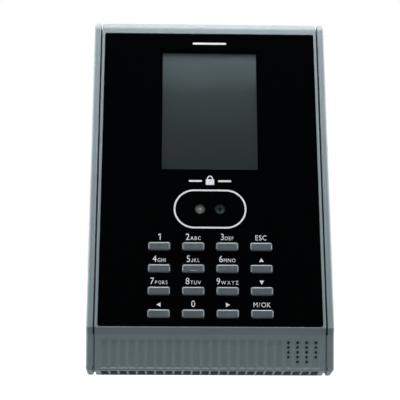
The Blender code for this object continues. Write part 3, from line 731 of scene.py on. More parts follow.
def film_amber():
    """Polyimide film over copper strips that run along the cable."""
    look = Look("cable_amber", (0.42, 0.19, 0.03), 0.3)
    wave = {"wave_type": "BANDS", "bands_direction": "X"}
    strips = look.texture("ShaderNodeTexWave", {"Scale": 320.0}, **wave)["Fac"]
    look.colour(look.mixed(strips, (0.30, 0.12, 0.02), (0.5, 0.25, 0.05)))
    look.bump(strips, 0.02)
    return look.material


LOOKS = {
    "shell": moulded("shell_grey", (0.222, 0.282, 0.300), 0.42, 0.35, 0.012, 0.035),
    "rear": moulded("rear_grey", (0.060, 0.067, 0.072), 0.52, 0.45, 0.03, 0.06),
    "panel": acrylic_black(),
    "window": clear_window(),
    "display": display_grey(),
    "border": glossy_moulding("display_border", (0.008, 0.009, 0.010), 0.2),
    "key": lacquer_silver(),
    "ink": white_ink(),
    "left_lens": lens_glass("left", (0.40, 0.44, 0.41), (0.74, 0.75, 0.71), 0.5),
    "right_lens": lens_glass("right", (0.16, 0.25, 0.23), (0.004, 0.012, 0.011), 0.25),
    "lamp": glossy_moulding("lamp_tint", (0.02, 0.008, 0.012), 0.1),
    "black": moulded("black_plastic", (0.012, 0.012, 0.013), 0.5, 0.4, 0.02),
    "silicone": soft_rubber("grey_silicone", (0.18, 0.18, 0.18), 0.65),
    "board": solder_mask("board_green"),
    "plate": zinc_steel("zinc_plate", (0.56, 0.57, 0.59), (9.0, 1.0, 0.5)),
    "steel": zinc_steel("zinc_steel", (0.6, 0.61, 0.62), (2.0, 2.0, 2.0)),
    "aluminium": anodised("black_aluminium", (0.03, 0.03, 0.033)),
    "terminal": moulded("terminal_green", (0.02, 0.2, 0.055), 0.42, 0.5, 0.015),
    "relay": glossy_moulding("relay_blue", (0.015, 0.06, 0.28), 0.28),
    "foam": soft_rubber("black_foam", (0.02, 0.02, 0.02), 0.95),
    "ivory": moulded("ivory_nylon", (0.68, 0.65, 0.55), 0.45, 0.5, 0.01),
    "cable": film_amber(),
}


# ---------------- front shell
def face_from_upright(depth, height):
    """(w, v) of a point given behind and above the bend in the upright frame."""
    return turned_about(depth, height, TILT)


def upright_from_face(w, v):
    return w * math.cos(TILT) + v * math.sin(TILT), v * math.cos(TILT) - w * math.sin(TILT)


def chin_point(height, behind=0.0):
    return face_from_upright(CHIN_SETBACK + behind, height)


def arc_points(start, corner, end, steps):
    """A smooth turn from start to end around a corner."""
    a = Vector(start)
    b = Vector(corner)
    c = Vector(end)
    points = []
    for i in range(steps + 1):
        t = i / steps
        points.append(tuple((1 - t) ** 2 * a + 2 * t * (1 - t) * b + t * t * c))
    return points


def smooth(value):
    value = min(max(value, 0.0), 1.0)
    return value * value * (3 - 2 * value)


def chin_heights():
    """Heights down the chin, close together where the flutes begin and end."""
    heights = [-LIP_DROP, -2.1, -2.8]
    heights += [FLUTE_TOP - FLUTE_RUN_OUT * i / 5 for i in range(6)]
    heights += [-8.0, -10.5, -13.0]
    heights += [FLUTE_BOTTOM + FLUTE_END * (3 - i) / 3 for i in range(4)]
    return heights


def flute_share(height):
    """1 along a flute, falling to 0 at both of its ends."""
    below_top = smooth((FLUTE_TOP - height) / FLUTE_RUN_OUT)
    return below_top * smooth((height - FLUTE_BOTTOM) / FLUTE_END)


def side_outline(flute=0.0):
    """(w, v) outline of the tray seen from the side, with the chin pushed in by a flute."""
    top = FACE_LENGTH
    points = [(TRAY_DEPTH, top)]
    for angle in quarter_turn(12):
        w = TOP_ROUND * (1 - math.sin(angle))
        points.append((w, top - TOP_ROUND * (1 - math.cos(angle))))
    lip = chin_point(-LIP_DROP)
    points += arc_points((0.0, BEND_LIP + 0.3), (0.02, BEND_LIP), (0.28, BEND_LIP - 0.24), 5)
    points += arc_points((lip[0] - 0.17, lip[1] + 0.28), lip, chin_point(-LIP_DROP - 0.3), 4)[:-1]
    for height in chin_heights()[1:]:
        points.append(chin_point(height, flute * flute_share(height)))
    foot_w, foot_v = chin_point(-CHIN_DROP, -FOOT_LIP)
    start = chin_point(-CHIN_DROP + FOOT_ROUND, -FOOT_LIP)
    points += arc_points(start, (foot_w, foot_v), (foot_w + FOOT_ROUND, foot_v), 7)
    points.append((TRAY_DEPTH, foot_v))
    return points


def shrunk(outline, inwards, along):
    """The outline pulled back from the face by `inwards`, and from its two ends by `along`."""
    low = min(v for _, v in outline)
    high = max(v for _, v in outline)
    middle = (low + high) / 2
    scale_w = 1 - inwards / TRAY_DEPTH
    scale_v = 1 - along / ((high - low) / 2)
    return [(TRAY_DEPTH - (TRAY_DEPTH - w) * scale_w, middle + (v - middle) * scale_v) for w, v in outline]


def groove_edge(outline, from_edge):
    """The outline at a distance from the shadow groove, where the edge rounds away."""
    share = 1 - min(from_edge / SIDE_ROUND, 1.0)
    drop = 1 - math.sqrt(max(0.0, 1 - share * share))
    return shrunk(outline, 0.35 * drop, 1.2 * drop)


def flute_centres():
    first = -FLUTE_PITCH * (FLUTE_COUNT - 1) / 2
    return [first + FLUTE_PITCH * i for i in range(FLUTE_COUNT)]


def cover_sections():
    """Sections across the cover, close together over each flute and at both edges."""
    edge = []
    for angle in quarter_turn(7)[:-1]:
        from_edge = SIDE_ROUND * (1 - math.cos(angle))
        edge.append((COVER_HALF - from_edge, groove_edge(side_outline(), from_edge)))
    sections = [(-u, outline) for u, outline in edge]
    for centre in flute_centres():
        for i in range(9):
            across_flute = (i - 4) / 4
            depth = FLUTE_DEPTH * (1 - across_flute**4)
            sections.append((centre + FLUTE_HALF * across_flute, side_outline(depth)))
    return sections + edge[::-1]


def cavity_outline():
    """(w, v) outline of the space behind the panel's seat and the chin."""
    front = PANEL_HIGH.y + GAP + FLOOR_THICK
    back = TRAY_DEPTH + 2.0
    foot = chin_point(-CHIN_DROP)[1] + WALL
    roof = FACE_LENGTH - WALL - 0.2
    inside = CHIN_SETBACK + WALL
    at_chin = (front, (inside - front * math.cos(TILT)) / math.sin(TILT))
    at_foot = ((inside - foot * math.sin(TILT)) / math.cos(TILT), foot)
    return [(back, roof), (front, roof), at_chin, at_foot, (back, foot)]


def rod_rings(centre, layers):
    """Rings of a stepped rod square to the wall, from (depth, radius) pairs in the upright frame."""
    rings = []
    for depth, radius in layers:
        rings.append([(x, *face_from_upright(depth, height)) for x, height in circle(radius, centre, 24)])
    return rings


def screw_places():
    """(x, height above the bend) of each case screw."""
    centres = [middle_of(wall_box(name)) for name in CASE_SCREWS]
    return [(centre.x, centre.z - BEND_HEIGHT) for centre in centres]


def speaker_holes():
    places = []
    for column, count in enumerate(SPEAKER_COLUMNS):
        u = SPEAKER_CENTRE_U + FLUTE_PITCH * (column - 1.5)
        places += [(u, -TOP_HOLE_DROP - HOLE_PITCH * row) for row in range(count)]
    return places


def opening_tools(seat):
    """Cutters for the panel's recess and for what opens through its floor."""
    middle = (PANEL_LOW.z + PANEL_HIGH.z) / 2
    half_v = (PANEL_HIGH.z - PANEL_LOW.z) / 2 + 0.15
    recess = rounded_rectangle(PANEL_HIGH.x + 0.15, half_v, PANEL_CORNER, (0.0, middle))
    yield stack("recess_tool", prism(-2.0, seat, recess))
    low, high = face_box("screen_glass")
    screen_opening = (high.x + 1.0, low.z - 0.6, high.z + 0.6)
    boxes = []
    for half_u, low_v, high_v in (screen_opening, CAMERA_OPENING, KEYPAD_OPENING):
        boxes.append(box_rings((-half_u, seat - 0.5, low_v), (half_u, seat + FLOOR_THICK + 0.5, high_v)))
    yield solids("opening_tool", *boxes)


def front_cover():
    seat = PANEL_HIGH.y + GAP
    back = BODY_DEPTH + REAR_FLOOR_INNER
    cover = across("front_cover_moulding", cover_sections())
    inner = COVER_HALF - WALL
    subtract(cover, across("cavity_tool", prism(-inner, inner, cavity_outline())))
    for tool in opening_tools(seat):
        subtract(cover, tool)
    posts = []
    pilots = []
    for centre in screw_places():
        start = (seat + 0.25 + (centre[1] + POST_RADIUS) * math.sin(TILT)) / math.cos(TILT)
        posts.append(rod_rings(centre, ((start, POST_RADIUS), (back - GAP, POST_RADIUS))))
        pilots.append(rod_rings(centre, ((back - 15.0, PILOT_RADIUS), (back + 1.0, PILOT_RADIUS))))
    unite(cover, solids("post_tool", *posts))
    subtract(cover, solids("pilot_tool", *pilots))
    skin = CHIN_SETBACK + FLUTE_DEPTH
    rim = HOLE_RADIUS + 0.12
    profile = ((0.2, rim), (skin, rim), (skin + 0.15, HOLE_RADIUS), (skin + 4.0, HOLE_RADIUS))
    subtract(cover, solids("speaker_hole_tool", *[rod_rings(centre, profile) for centre in speaker_holes()]))
    subtract(cover, underside_slots())
    subtract(cover, foot_groove())
    finish_piece(cover, "shell", "front_cover")


def underside_slots():
    """Vent slots with rounded front corners along the underside, one below each flute."""
    foot_w, foot_v = chin_point(-CHIN_DROP)
    front = foot_w + SLOT_START
    back = TRAY_DEPTH - SLOT_RIM
    slots = []
    for centre in flute_centres():
        outline = rounded_rectangle(SLOT_HALF, (back - front) / 2, 0.7, (centre, (front + back) / 2), 4)
        slots.append(rings_along_z(prism(foot_v - 1.0, foot_v + WALL + 1.0, outline)))
    return solids("slot_tool", *slots)


def foot_groove():
    """A shallow groove across the underside, over the rear ends of the slots."""
    foot_v = chin_point(-CHIN_DROP)[1]
    half = flute_centres()[-1] + SLOT_HALF
    back = TRAY_DEPTH - SLOT_RIM
    groove = box_rings((-half, back - FOOT_GROOVE, foot_v - 1.0), (half, back, foot_v + 0.8))
    return solids("groove_tool", groove)


def cheek_sections():
    """Sections of a cheek from the groove outwards, with both long edges rounded."""
    outline = side_outline()
    sections = []
    for angle in quarter_turn(7):
        from_edge = SIDE_ROUND * (1 - math.cos(angle))
        sections.append((CHEEK_INNER + from_edge, groove_edge(outline, from_edge)))
    for angle in quarter_turn(10):
        inset = CHEEK_ROUND * (1 - math.cos(angle))
        u = OUTER_HALF - CHEEK_ROUND + CHEEK_ROUND * math.sin(angle)
        sections.append((u, shrunk(outline, inset, inset)))
    return sections


def cheek(name, side):
    """Side trim, with a land behind the groove and a strip that closes the seam by the chin."""
    piece = across(f"{name}_cheek_moulding", [(side * u, outline) for u, outline in cheek_sections()])
    land = shrunk(side_outline(), GROOVE_DEPTH, 1.2)
    unite(piece, across("land_tool", prism(side * CHEEK_SEAM, side * (CHEEK_INNER + 0.5), land)))
    foot_v = chin_point(-CHIN_DROP)[1] + 1.2
    strip = [
        (GROOVE_DEPTH + 2.0, chin_point(-LIP_DROP - 0.1)[1]),
        chin_point(-LIP_DROP - 0.1, 0.3),
        chin_point(-CHIN_DROP + 1.6, 0.3),
        (TRAY_DEPTH - 1.0, foot_v),
    ]
    unite(piece, across("strip_tool", prism(side * CHEEK_SEAM, side * (CHEEK_INNER + 0.6), strip)))
    finish_piece(piece, "shell", f"{name}_cheek")


# ---------------- panel and print
def key_centre(name):
    centre = middle_of(face_box(name))
    return centre.x, centre.z


def cap_half_sizes():
    """Half width and half height of a key cap, worked out from its flange."""
    low, high = face_box("key_1")
    return (high.x - low.x) / 2 - KEY_FLANGE, (high.z - low.z) / 2 - KEY_FLANGE


def front_panel():
    middle = (PANEL_LOW.z + PANEL_HIGH.z) / 2
    half_v = (PANEL_HIGH.z - PANEL_LOW.z) / 2
    outer = rectangle_shape(PANEL_HIGH.x, half_v, PANEL_CORNER, (0.0, middle))
    half_u, half_key = cap_half_sizes()
    holes = [rectangle_shape(half_u + GAP, half_key + GAP, 1.0, key_centre(name), 5) for name in KEYS]
    window = rectangle_shape(WINDOW_HALF_U, WINDOW_HALF_V, 0.25, (0.0, WINDOW_CENTRE), 3)
    spots = [circle_shape(SPOT_RADIUS, (u, SPOT_HEIGHT)) for u in (-LENS_OFFSET, LENS_OFFSET)]
    depths = (PANEL_LOW.y, PANEL_HIGH.y)
    panel = sheet("front_panel_acrylic", outer, holes, *depths, 0.12, [window, *spots], CLEAR_MARGIN)
    finish_piece(panel, "panel window", "front_panel")


def lettered(sign, height):
    """A character of the built-in lettering, standing on v = 0 and starting at u = 0."""
    curve = bpy.data.curves.new("letter", "FONT")
    curve.body = sign
    curve.extrude = 0.5
    curve.resolution_u = 5
    obj = linked(bpy.data.objects.new("letter", curve))
    graph = bpy.context.evaluated_depsgraph_get()
    mesh = bpy.data.meshes.new_from_object(obj.evaluated_get(graph), depsgraph=graph)
    bpy.data.objects.remove(obj, do_unlink=True)
    left = min(vertex.co.x for vertex in mesh.vertices)
    foot = min(vertex.co.y for vertex in mesh.vertices)
    scale = height / (max(vertex.co.y for vertex in mesh.vertices) - foot)
    for vertex in mesh.vertices:
        x, y, z = vertex.co
        vertex.co = ((x - left) * scale * LETTER_WIDTH, -z * INK, (y - foot) * scale)
    return mesh


def drawn(sign, height):
    """A character from its own outline."""
    builder = bmesh.new()
    outline = [(u * height, v * height) for u, v in DRAWN_SIGNS[sign]]
    add_rings(builder, rings_along_y(prism(-INK / 2, INK / 2, outline)))
    return finished_mesh("drawn_letter", builder)


def put_text(builder, parts, centre_u, base_v):
    """Sets (text, height) parts on one base line, centred on the key."""
    made = []
    end = 0.0
    for text, height in parts:
        for sign in text:
            mesh = drawn(sign, height) if sign in DRAWN_SIGNS else lettered(sign, height)
            made.append((mesh, end))
            end += max(vertex.co.x for vertex in mesh.vertices) + LETTER_SPACE
    start = centre_u - (end - LETTER_SPACE) / 2
    for mesh, along in made:
        mesh.transform(Matrix.Translation((start + along, PANEL_LOW.y - INK / 2, base_v)))
        builder.from_mesh(mesh)


def print_prism(builder, outline):
    """A flat printed shape on the panel from its (u, v) outline."""
    add_rings(builder, rings_along_y(prism(PANEL_LOW.y - INK, PANEL_LOW.y, outline)))


def arrow(centre, degrees):
    """A triangle that points the given way from the u axis."""
    size = 1.02
    points = []
    for along, aside in ((size, 0.0), (-0.8 * size, size), (-0.8 * size, -size)):
        u, v = turned_about(along, aside, math.radians(degrees))
        points.append((centre[0] + u, centre[1] + v))
    return points


def key_legends():
    """A digit with small letters, a word or an arrow above each key."""
    builder = bmesh.new()
    above = cap_half_sizes()[1] + 1.25
    for name in KEYS:
        u, v = key_centre(name)
        if name in ARROWS:
            print_prism(builder, arrow((u, v + above + 1.05), ARROWS[name]))
        elif name in WORDS:
            put_text(builder, [WORDS[name]], u, v + above)
        else:
            parts = [(name[-1], DIGIT_HEIGHT), (LETTERS.get(name, ""), LETTER_HEIGHT)]
            put_text(builder, parts, u, v + above)
    bmesh.ops.remove_doubles(builder, verts=builder.verts, dist=0.0005)
    legends = working_object("key_legend_print", builder)
    finish_piece(legends, "ink", None)


def camera_ring():
    loops = []
    for inset in (0.0, RING_LINE):
        half_v = RING_HALF_V - inset
        loops.append(rectangle_shape(RING_HALF_U - inset, half_v, half_v, (0.0, RING_HEIGHT), 24))
    ring = sheet("camera_ring_print", loops[0], [loops[1]], PANEL_LOW.y - INK, PANEL_LOW.y)
    finish_piece(ring, "ink", None)


def padlock_and_bars():
    """A plain padlock sign between two bars, above the camera, and a bar above the display."""
    builder = bmesh.new()
    height = PADLOCK_HEIGHT
    print_prism(builder, rounded_rectangle(1.9, 1.35, 0.3, (0.0, height)))
    outer, inner = [circle(radius, (0.0, height + 1.75), 24)[:13] for radius in (1.35, 0.8)]
    feet = [(u, height + 1.42) for u in (-1.35, -0.8, 0.8, 1.35)]
    print_prism(builder, outer + feet[:2] + inner[::-1] + feet[2:])
    for u in (-6.6, 6.6):
        print_prism(builder, rounded_rectangle(3.0, 0.42, 0.42, (u, height + 0.5)))
    print_prism(builder, rounded_rectangle(7.9, 0.5, 0.5, (0.0, TOP_BAR_HEIGHT)))
    finish_piece(working_object("padlock_print", builder), "ink", None)


# ---------------- keys
def key_cap(name):
    """A cap with a chamfered rim, on a flange behind the panel."""
    low, high = face_box("key_1")
    half_u, half_v = cap_half_sizes()
    front = low.y
    behind_panel = PANEL_HIGH.y + GAP
    rim = 0.46  # width of the chamfer
    drop = 0.36  # and its depth
    soft = 0.06  # how far its two edges are rounded
    corner = 0.85

    def outline(inset):
        return rounded_rectangle(half_u - inset, half_v - inset, max(corner - inset, 0.12), steps=6)

    flange = rounded_rectangle(half_u + KEY_FLANGE, half_v + KEY_FLANGE, 0.9, steps=6)
    layers = (
        (front, outline(rim + 0.5)),
        (front + 0.012, outline(rim + soft)),
        (front + 0.05, outline(rim - soft)),
        (front + drop - soft, outline(soft)),
        (front + drop, outline(0.02)),
        (front + drop + soft, outline(0.0)),
        (behind_panel, outline(0.0)),
        (behind_panel, flange),
        (high.y, flange),
    )
    u, v = key_centre(name)
    cap = stack(f"{name}_cap", layers, (u, 0.0, v))
    if name == "key_5":
        unite(cap, locating_bar(front, u, v))
    finish_piece(cap, "key", name, body=f"{name}_button", sharp=50.0)


def locating_bar(front, u, v):
    """The raised bar that a finger finds on the middle key."""
    layers = []
    radius = 0.26
    for angle in quarter_turn(5):
        half = radius * math.sin(angle) + 0.01
        outline = rounded_rectangle(1.6 - radius + half, half, half, steps=6)
        layers.append((front - 0.25 + radius * (1 - math.cos(angle)), outline))
    layers.append((front + 0.5, layers[-1][1]))
    return stack("bar_tool", layers, (u, 0.0, v - 1.14))


# ---------------- display and camera
def display():
    low, high = face_box("screen_glass")
    centre = middle_of((low, high))
    outer = rectangle_shape((high.x - low.x) / 2, (high.z - low.z) / 2, 0.5, (centre.x, centre.z), 4)
    active = rectangle_shape(WINDOW_HALF_U + 0.5, WINDOW_HALF_V + 0.5, 0.2, (0.0, WINDOW_CENTRE), 3)
    cell = sheet("display_cell", outer, (), low.y, high.y, 0.1, [active])
    finish_piece(cell, "border display", "screen_glass")


def lens(name):
    """A domed lens with a flat rim, turned about its own axis."""
    low, high = corners = face_box(f"{name}_lens")
    centre = middle_of(corners)
    radius = radius_of(corners)
    rim = 0.82 * radius
    rise = 0.42
    profile = []
    for angle in quarter_turn(8):
        profile.append((low.y + rise * (1 - math.cos(angle)), max(rim * math.sin(angle), 0.02)))
    profile += [(low.y + rise, radius - 0.04), (low.y + rise + 0.04, radius), (high.y, radius)]
    piece = turned(f"{name}_lens_glass", profile, (centre.x, 0.0, centre.z))
    finish_piece(piece, f"{name}_lens", f"{name}_lens")


def lens_barrel(name):
    """A barrel with chamfered rims, open in front of the lens."""
    low, high = corners = face_box(f"{name}_lens_barrel")
    lens_corners = face_box(f"{name}_lens")
    centre = middle_of(corners)
    outer = radius_of(corners)
    bore = radius_of(lens_corners) + 0.3
    bottom = lens_corners[1].y + GAP
    profile = ((bottom, bore), (low.y + 0.2, bore), (low.y, bore + 0.2), (low.y, outer - 0.2),
               (low.y + 0.2, outer), (high.y - 0.3, outer), (high.y, outer - 0.3))
    piece = turned(f"{name}_barrel", profile, (centre.x, 0.0, centre.z))
    finish_piece(piece, "black", f"{name}_lens_barrel")


# ---------------- rear cover
def wall_point(w, v):
    """(y, z) of a point that is given in the face frame."""
    depth, height = upright_from_face(w, v)
    return depth - BODY_DEPTH, height + BEND_HEIGHT


def rear_outline(inset, back, front=TRAY_DEPTH + GAP):
    """(y, z) outline of the wedge, whose front edge lies square to the face at depth `front`."""
    low_y, low_z = wall_point(front, REAR_BOTTOM)
    bottom = wall_point(TRAY_DEPTH + GAP, REAR_BOTTOM)[1] + inset
    top = wall_point(TRAY_DEPTH + GAP, REAR_TOP)[1] - inset
    return [
        (low_y + (top - low_z) * math.tan(TILT), top),
        (low_y + (bottom - low_z) * math.tan(TILT), bottom),
        (back, bottom),
        (back, top),
    ]


def rear_cover():
    half = wall_box("rear_cover")[1].x
    sections = []
    for angle in quarter_turn(7):
        x = half - REAR_ROUND * (1 - math.sin(angle))
        sections.append((x, rear_outline(REAR_ROUND * (1 - math.cos(angle)), -GAP)))
    mirrored = [(-x, outline) for x, outline in reversed(sections)]
    cover = across("rear_cover_moulding", mirrored + sections)
    inner = half - WALL
    hollow = rear_outline(WALL, REAR_FLOOR_INNER, TRAY_DEPTH - 2.0)
    subtract(cover, across("hollow_tool", prism(-inner, inner, hollow)))
    outline = rear_outline(0.0, -GAP)
    bottom = outline[1][1] + WALL
    top = outline[0][1] - WALL
    middle = (bottom + top) / 2
    recess = rounded_rectangle(inner, top - middle, 1.5, (0.0, middle))
    subtract(cover, stack("recess_tool", prism(REAR_FLOOR_OUTER, 2.0, recess)))
    unite(cover, lock_boss(bottom))
    subtract(cover, rear_openings(bottom))
    holes = []
    for x, height in screw_places():
        holes.append(rings_along_y(prism(-7.0, 0.0, circle(1.8, (x, height + BEND_HEIGHT), 24))))
    subtract(cover, solids("hole_tool", *holes))
    subtract(cover, side_vents(half))
    finish_piece(cover, "rear", "rear_cover", WALL_FRAME, edge=0.25)


def lock_boss(bottom):
    ring = circle(5.6, (0.0, LOCK_SCREW_Y), 32)
    return solids("boss_tool", rings_along_z(prism(bottom - 1.0, bottom + 2.4, ring)))


def rear_openings(bottom):
    """Cable outlet, hook slots, plate foot slot, tamper hole and lock screw hole."""
    outlet = BEND_HEIGHT + OUTLET_HEIGHT
    hook = BEND_HEIGHT + HOOK_HEIGHT
    foot = wall_box("wall_plate")[0].z
    plunger = middle_of(wall_box("tamper_plunger"))
    outlines = [
        rounded_rectangle(22.0, 10.0, 2.0, (0.0, outlet), 5),
        rounded_rectangle(3.4, 4.25, 0.6, (-HOOK_X, hook + 3.25), 5),
        rounded_rectangle(3.4, 4.25, 0.6, (HOOK_X, hook + 3.25), 5),
        rounded_rectangle(8.0, 1.6, 0.5, (0.0, foot + 1.0), 5),
        circle(1.6, (plunger.x, plunger.z), 24),
    ]
    floor_depths = (REAR_FLOOR_INNER - 1.0, REAR_FLOOR_OUTER + 1.0)
    through = [rings_along_y(prism(*floor_depths, outline)) for outline in outlines]
    levels = []
    for rise, radius in ((-1.0, 3.4), (2.3, 3.4), (2.3, 1.9), (6.0, 1.9)):
        levels.append((bottom - WALL + rise, circle(radius, (0.0, LOCK_SCREW_Y), 32)))
    return solids("rear_opening_tool", *through, rings_along_z(levels))


def side_vents(half):
    """Upright vent slots with round ends through each side wall."""
    vents = []
    for side in (-1, 1):
        for i in range(VENT_COUNT):
            centre = (-13.0 - VENT_PITCH * i, BEND_HEIGHT + VENT_HEIGHT)
            outline = rounded_rectangle(1.0, 11.0, 1.0, centre, 6)
            vents.append(rings_along_x(prism(side * (half - WALL - 1.0), side * (half + 1.0), outline)))
    return solids("vent_tool", *vents)


# ---------------- wall plate and fasteners
def wall_plate():
    low, high = wall_box("wall_plate")
    middle = (low.z + high.z) / 2
    outer = rectangle_shape(high.x, high.z - middle, 4.0, (0.0, middle))
    holes = [rectangle_shape(26.0, 14.0, 3.0, (0.0, BEND_HEIGHT + OUTLET_HEIGHT))]
    for x in (-PLATE_HOLE_X, PLATE_HOLE_X):
        for height in PLATE_HOLE_HEIGHTS:
            holes.append(circle_shape(2.2, (x, BEND_HEIGHT + height), 32))
    plate = sheet("wall_plate_sheet", outer, holes, -PLATE_THICK, 0.0, 0.15)
    for x in (-HOOK_X, HOOK_X):
        unite(plate, plate_hook(x))
    unite(plate, plate_foot(low.z))
    finish_piece(plate, "plate", "wall_plate", WALL_FRAME)


def plate_hook(middle):
    """A bent hook that stands off the plate and turns up."""
    outline = [(-0.5, 0.0), (-0.5, 1.5)]
    outline += arc_points((-5.2, 1.5), (-6.0, 1.5), (-6.0, 2.3), 4)
    outline += [(-6.0, 6.0), (-7.5, 6.0)]
    outline += arc_points((-7.5, 1.6), (-7.5, 0.0), (-5.9, 0.0), 6)
    placed = [(y, BEND_HEIGHT + HOOK_HEIGHT + z) for y, z in outline]
    return across("hook_tool", prism(middle - 2.5, middle + 2.5, placed))


def plate_foot(low):
    """The tab at the bottom that the lock screw enters."""
    half_y = 2.75
    front = LOCK_SCREW_Y - 5.0 + half_y
    outline = [(x, y + front if y < 0 else -0.5) for x, y in rounded_rectangle(7.0, half_y, 1.4)]
    foot = solids("foot_tool", rings_along_z(prism(low, low + PLATE_THICK, outline)))
    ring = circle(1.9, (0.0, LOCK_SCREW_Y), 32)
    subtract(foot, solids("foot_hole_tool", rings_along_z(prism(low - 2.0, low + 4.0, ring))))
    return foot


def screw_head(front, rim, radius):
    """(depth, radius) points of a pan head whose top is at `front` and whose seat is at `rim`."""
    profile = []
    for angle in quarter_turn(7):
        depth = front + (rim - front) * 0.55 * (1 - math.cos(angle))
        profile.append((depth, max(radius * math.sin(angle), 0.03)))
    return profile + [(rim, radius)]


def cross_recess(depth_from, depth_to, size):
    """A tapered cross, as the driver leaves it."""
    wide = 0.17 * size
    arms = []
    for quarter in range(4):
        for along, aside in ((size, -wide), (size, wide), (wide, wide)):
            arms.append(turned_about(along, aside, math.pi / 2 * quarter))
    layers = []
    for depth, scale in ((depth_from, 1.0), (depth_to, 0.45)):
        layers.append((depth, [(x * scale, z * scale) for x, z in arms]))
    return stack("cross_tool", layers)


def case_screws():
    """Pan-head screws in the back, whose heads face the wall."""
    seat = REAR_FLOOR_OUTER + GAP
    for name in CASE_SCREWS:
        low, high = corners = wall_box(name)
        centre = middle_of(corners)
        shank = [(low.y, 0.5), (low.y + 1.2, 1.2), (seat, 1.2)]
        head = screw_head(high.y, seat, radius_of(corners))
        screw = turned(f"{name}_head", shank + head[::-1], steps=48)
        subtract(screw, cross_recess(high.y + 0.3, high.y - 1.1, 1.55))
        screw.data.transform(Matrix.Translation((centre.x, 0.0, centre.z)))
        finish_piece(screw, "steel", name, WALL_FRAME)


def lock_screw():
    """The screw from below that locks the terminal onto its plate."""
    low, high = corners = wall_box("lock_screw")
    centre = middle_of(corners)
    seat = 1.8
    length = high.z - low.z
    shank = [(seat, 1.4), (length - 0.6, 1.4), (length, 0.8)]
    screw = turned("lock_screw_head", screw_head(0.0, seat, radius_of(corners)) + shank, steps=48)
    subtract(screw, cross_recess(-0.3, 1.1, 1.5))
    upright = Matrix.Translation((centre.x, centre.y, low.z)) @ Matrix.Rotation(math.pi / 2, 4, "X")
    finish_piece(screw, "steel", "lock_screw", WALL_FRAME @ upright)


def tamper_plunger():
    """A nylon pin with a rounded tip against the wall plate."""
    low, high = corners = wall_box("tamper_plunger")
    centre = middle_of(corners)
    radius = radius_of(corners)
    tip = 0.5
    profile = [(low.y, radius - 0.2), (low.y + 0.2, radius)]
    for angle in quarter_turn(5):
        profile.append((high.y - tip + tip * math.sin(angle), radius - tip + tip * math.cos(angle)))
    pin = turned("tamper_pin", profile, (centre.x, 0.0, centre.z), 32)
    finish_piece(pin, "ivory", "tamper_plunger", WALL_FRAME, "tamper_button")


# ---------------- inner nodes
INNER_NODES = {
    "steel": ("screen_tray", "network_jack", "coin_cell", "left_board_screw", "right_board_screw"),
    "black": ("camera_holder", "coin_cell_holder", "speaker", "tamper_switch"),
    "lamp": ("left_infrared_lamp", "right_infrared_lamp"),
    "silicone": ("keypad_mat",),
    "foam": ("speaker_gasket",),
    "board": ("keypad_board", "card_reader_board", "camera_board", "main_board"),
    "aluminium": ("heat_sink",),
    "terminal": ("power_terminal", "lock_terminal"),
    "relay": ("door_relay",),
    "cable": ("screen_cable", "keypad_cable"),
}
SOFT_EDGED = ("network_jack", "power_terminal", "lock_terminal", "door_relay", "tamper_switch", "heat_sink")


def dress_inner_nodes():
    """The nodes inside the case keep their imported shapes."""
    for look, names in INNER_NODES.items():
        for name in names:
            node = frame["nodes"][name]
            node.data.materials.clear()
            node.data.materials.append(LOOKS[look])
    for name in SOFT_EDGED:
        node = frame["nodes"][name]
        weld = node.modifiers.new("joined", "WELD")
        weld.merge_threshold = 0.00001
        round_edges(node, 0.2 * MM)


# ---------------- floor, light and camera
def floor():
    """A wide floor well below the terminal: white to the camera, and for everything else lit in
    front and behind, with a dim band straight below."""
    corners = ((-1, -1), (1, -1), (1, 1), (-1, 1))
    mesh = bpy.data.meshes.new("floor")
    mesh.from_pydata([(x * FLOOR_REACH, y * FLOOR_REACH, FLOOR_HEIGHT) for x, y in corners], [], [range(4)])
    look = Look("pale_floor", (0.12, 0.12, 0.12), 0.8, Emission_Color=(1.0, 1.0, 1.0, 1.0))
    distance = look.parts(look.place)["Y"]
    behind = look.spread(distance, 0.02, 0.5, -0.02, 0.15)
    ahead = look.spread(distance, 0.05, 0.0, -0.3, -0.12)
    seen = look.node("ShaderNodeLightPath").outputs["Is Camera Ray"]
    strength = look.maths("MAXIMUM", seen, look.maths("ADD", behind, ahead))
    look.join(strength, look.shader.inputs["Emission Strength"])
    mesh.materials.append(look.material)
    linked(bpy.data.objects.new("floor", mesh))


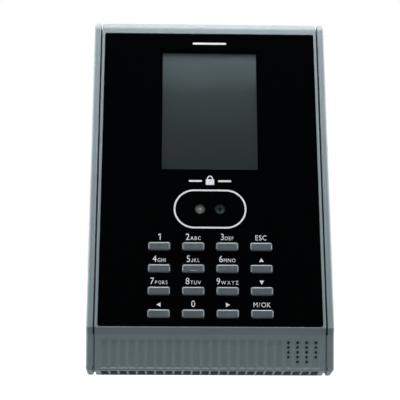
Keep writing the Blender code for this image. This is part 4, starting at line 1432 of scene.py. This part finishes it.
def world():
    """White to the camera. To all else it is bright behind and at the sides, with a dark card in
    front where the panel would mirror it."""
    made = bpy.data.worlds.new("studio")
    made.use_nodes = True
    made.node_tree.nodes.clear()
    sky = Nodes(made.node_tree)
    place = sky.node("ShaderNodeTexCoord").outputs["Generated"]
    parts = sky.parts(place)

    def change(source, low, high, from_low, from_high):
        return sky.spread(source, low, high, from_low, from_high, interpolation_type="SMOOTHSTEP")

    around = sky.maths(
        "MULTIPLY",
        change(parts["Y"], FRONT_LIGHT, BACK_LIGHT, -0.75, 0.35),
        change(parts["Z"], LOW_SHARE, 1.0, -0.5, 0.35),
    )
    sideways = change(sky.maths("ABSOLUTE", parts["X"]), 1.0, SIDE_GAIN, 0.75, 0.97)
    card = (0.0, -math.cos(2 * TILT), math.sin(2 * TILT))
    towards_card = sky.fed([place], "ShaderNodeVectorMath", {1: card}, operation="DOT_PRODUCT")["Value"]
    shade = change(towards_card, 1.0, 0.02, 0.80, 0.95)
    lit = sky.node("ShaderNodeBackground", {"Color": (0.95, 0.98, 1.0, 1.0)})
    strength = sky.maths("MULTIPLY", sky.maths("MULTIPLY", around, sideways), shade)
    sky.join(strength, lit.inputs["Strength"])
    white = sky.node("ShaderNodeBackground", {"Color": (1.0, 1.0, 1.0, 1.0)})
    seen = sky.node("ShaderNodeLightPath").outputs["Is Camera Ray"]
    both = sky.blend(seen, lit.outputs["Background"], white.outputs["Background"])
    sky.join(both, sky.node("ShaderNodeOutputWorld").inputs["Surface"])
    bpy.context.scene.world = made


def softbox(name, location, target, width, height, watts):
    """A soft panel of light, slightly warm."""
    light = bpy.data.lights.new(name, "AREA")
    light.color = (1.0, 0.95, 0.95)
    light.shape = "RECTANGLE"
    light.size = width
    light.size_y = height
    light.energy = watts
    made = linked(bpy.data.objects.new(name, light))
    made.location = location
    made.rotation_euler = (Vector(target) - Vector(location)).to_track_quat("-Z", "Y").to_euler()


def lights():
    above = cad_high.z + 0.27
    softbox("near_softbox", (0.0, -0.05, above), (0.0, -0.04, 0.0), 0.5, 0.14, NEAR_WATTS)
    softbox("high_softbox", (0.0, -0.42, 0.9), (0.0, -0.05, 0.0), 0.6, 0.22, HIGH_WATTS)
    for name, side in (("left_softbox", -1), ("right_softbox", 1)):
        softbox(name, (side * 0.45, 0.02, 0.05), (side * 0.05, -0.04, 0.0), 0.25, 0.4, SIDE_WATTS)


def camera():
    """The viewing place: level with the middle, a little to the left, turned slightly right."""
    data = bpy.data.cameras.new("camera")
    data.sensor_width = 36.0
    data.lens = CAMERA_LENS
    made = linked(bpy.data.objects.new("camera", data))
    yaw = Matrix.Rotation(math.radians(CAMERA_YAW), 4, "Z")
    roll = Matrix.Rotation(math.radians(CAMERA_ROLL), 4, "Y")
    level = Matrix.Rotation(math.pi / 2, 4, "X")
    made.matrix_world = Matrix.Translation(CAMERA_PLACE) @ yaw @ roll @ level
    bpy.context.scene.camera = made


# ---------------- the whole terminal
front_cover()
for side_name, sign in (("left", -1), ("right", 1)):
    cheek(side_name, sign)
    lens(side_name)
    lens_barrel(side_name)
front_panel()
key_legends()
camera_ring()
padlock_and_bars()
for key in KEYS:
    key_cap(key)
display()
rear_cover()
wall_plate()
case_screws()
lock_screw()
tamper_plunger()
dress_inner_nodes()
floor()
world()
lights()
camera()
bpy.context.scene.view_settings.view_transform = "Standard"
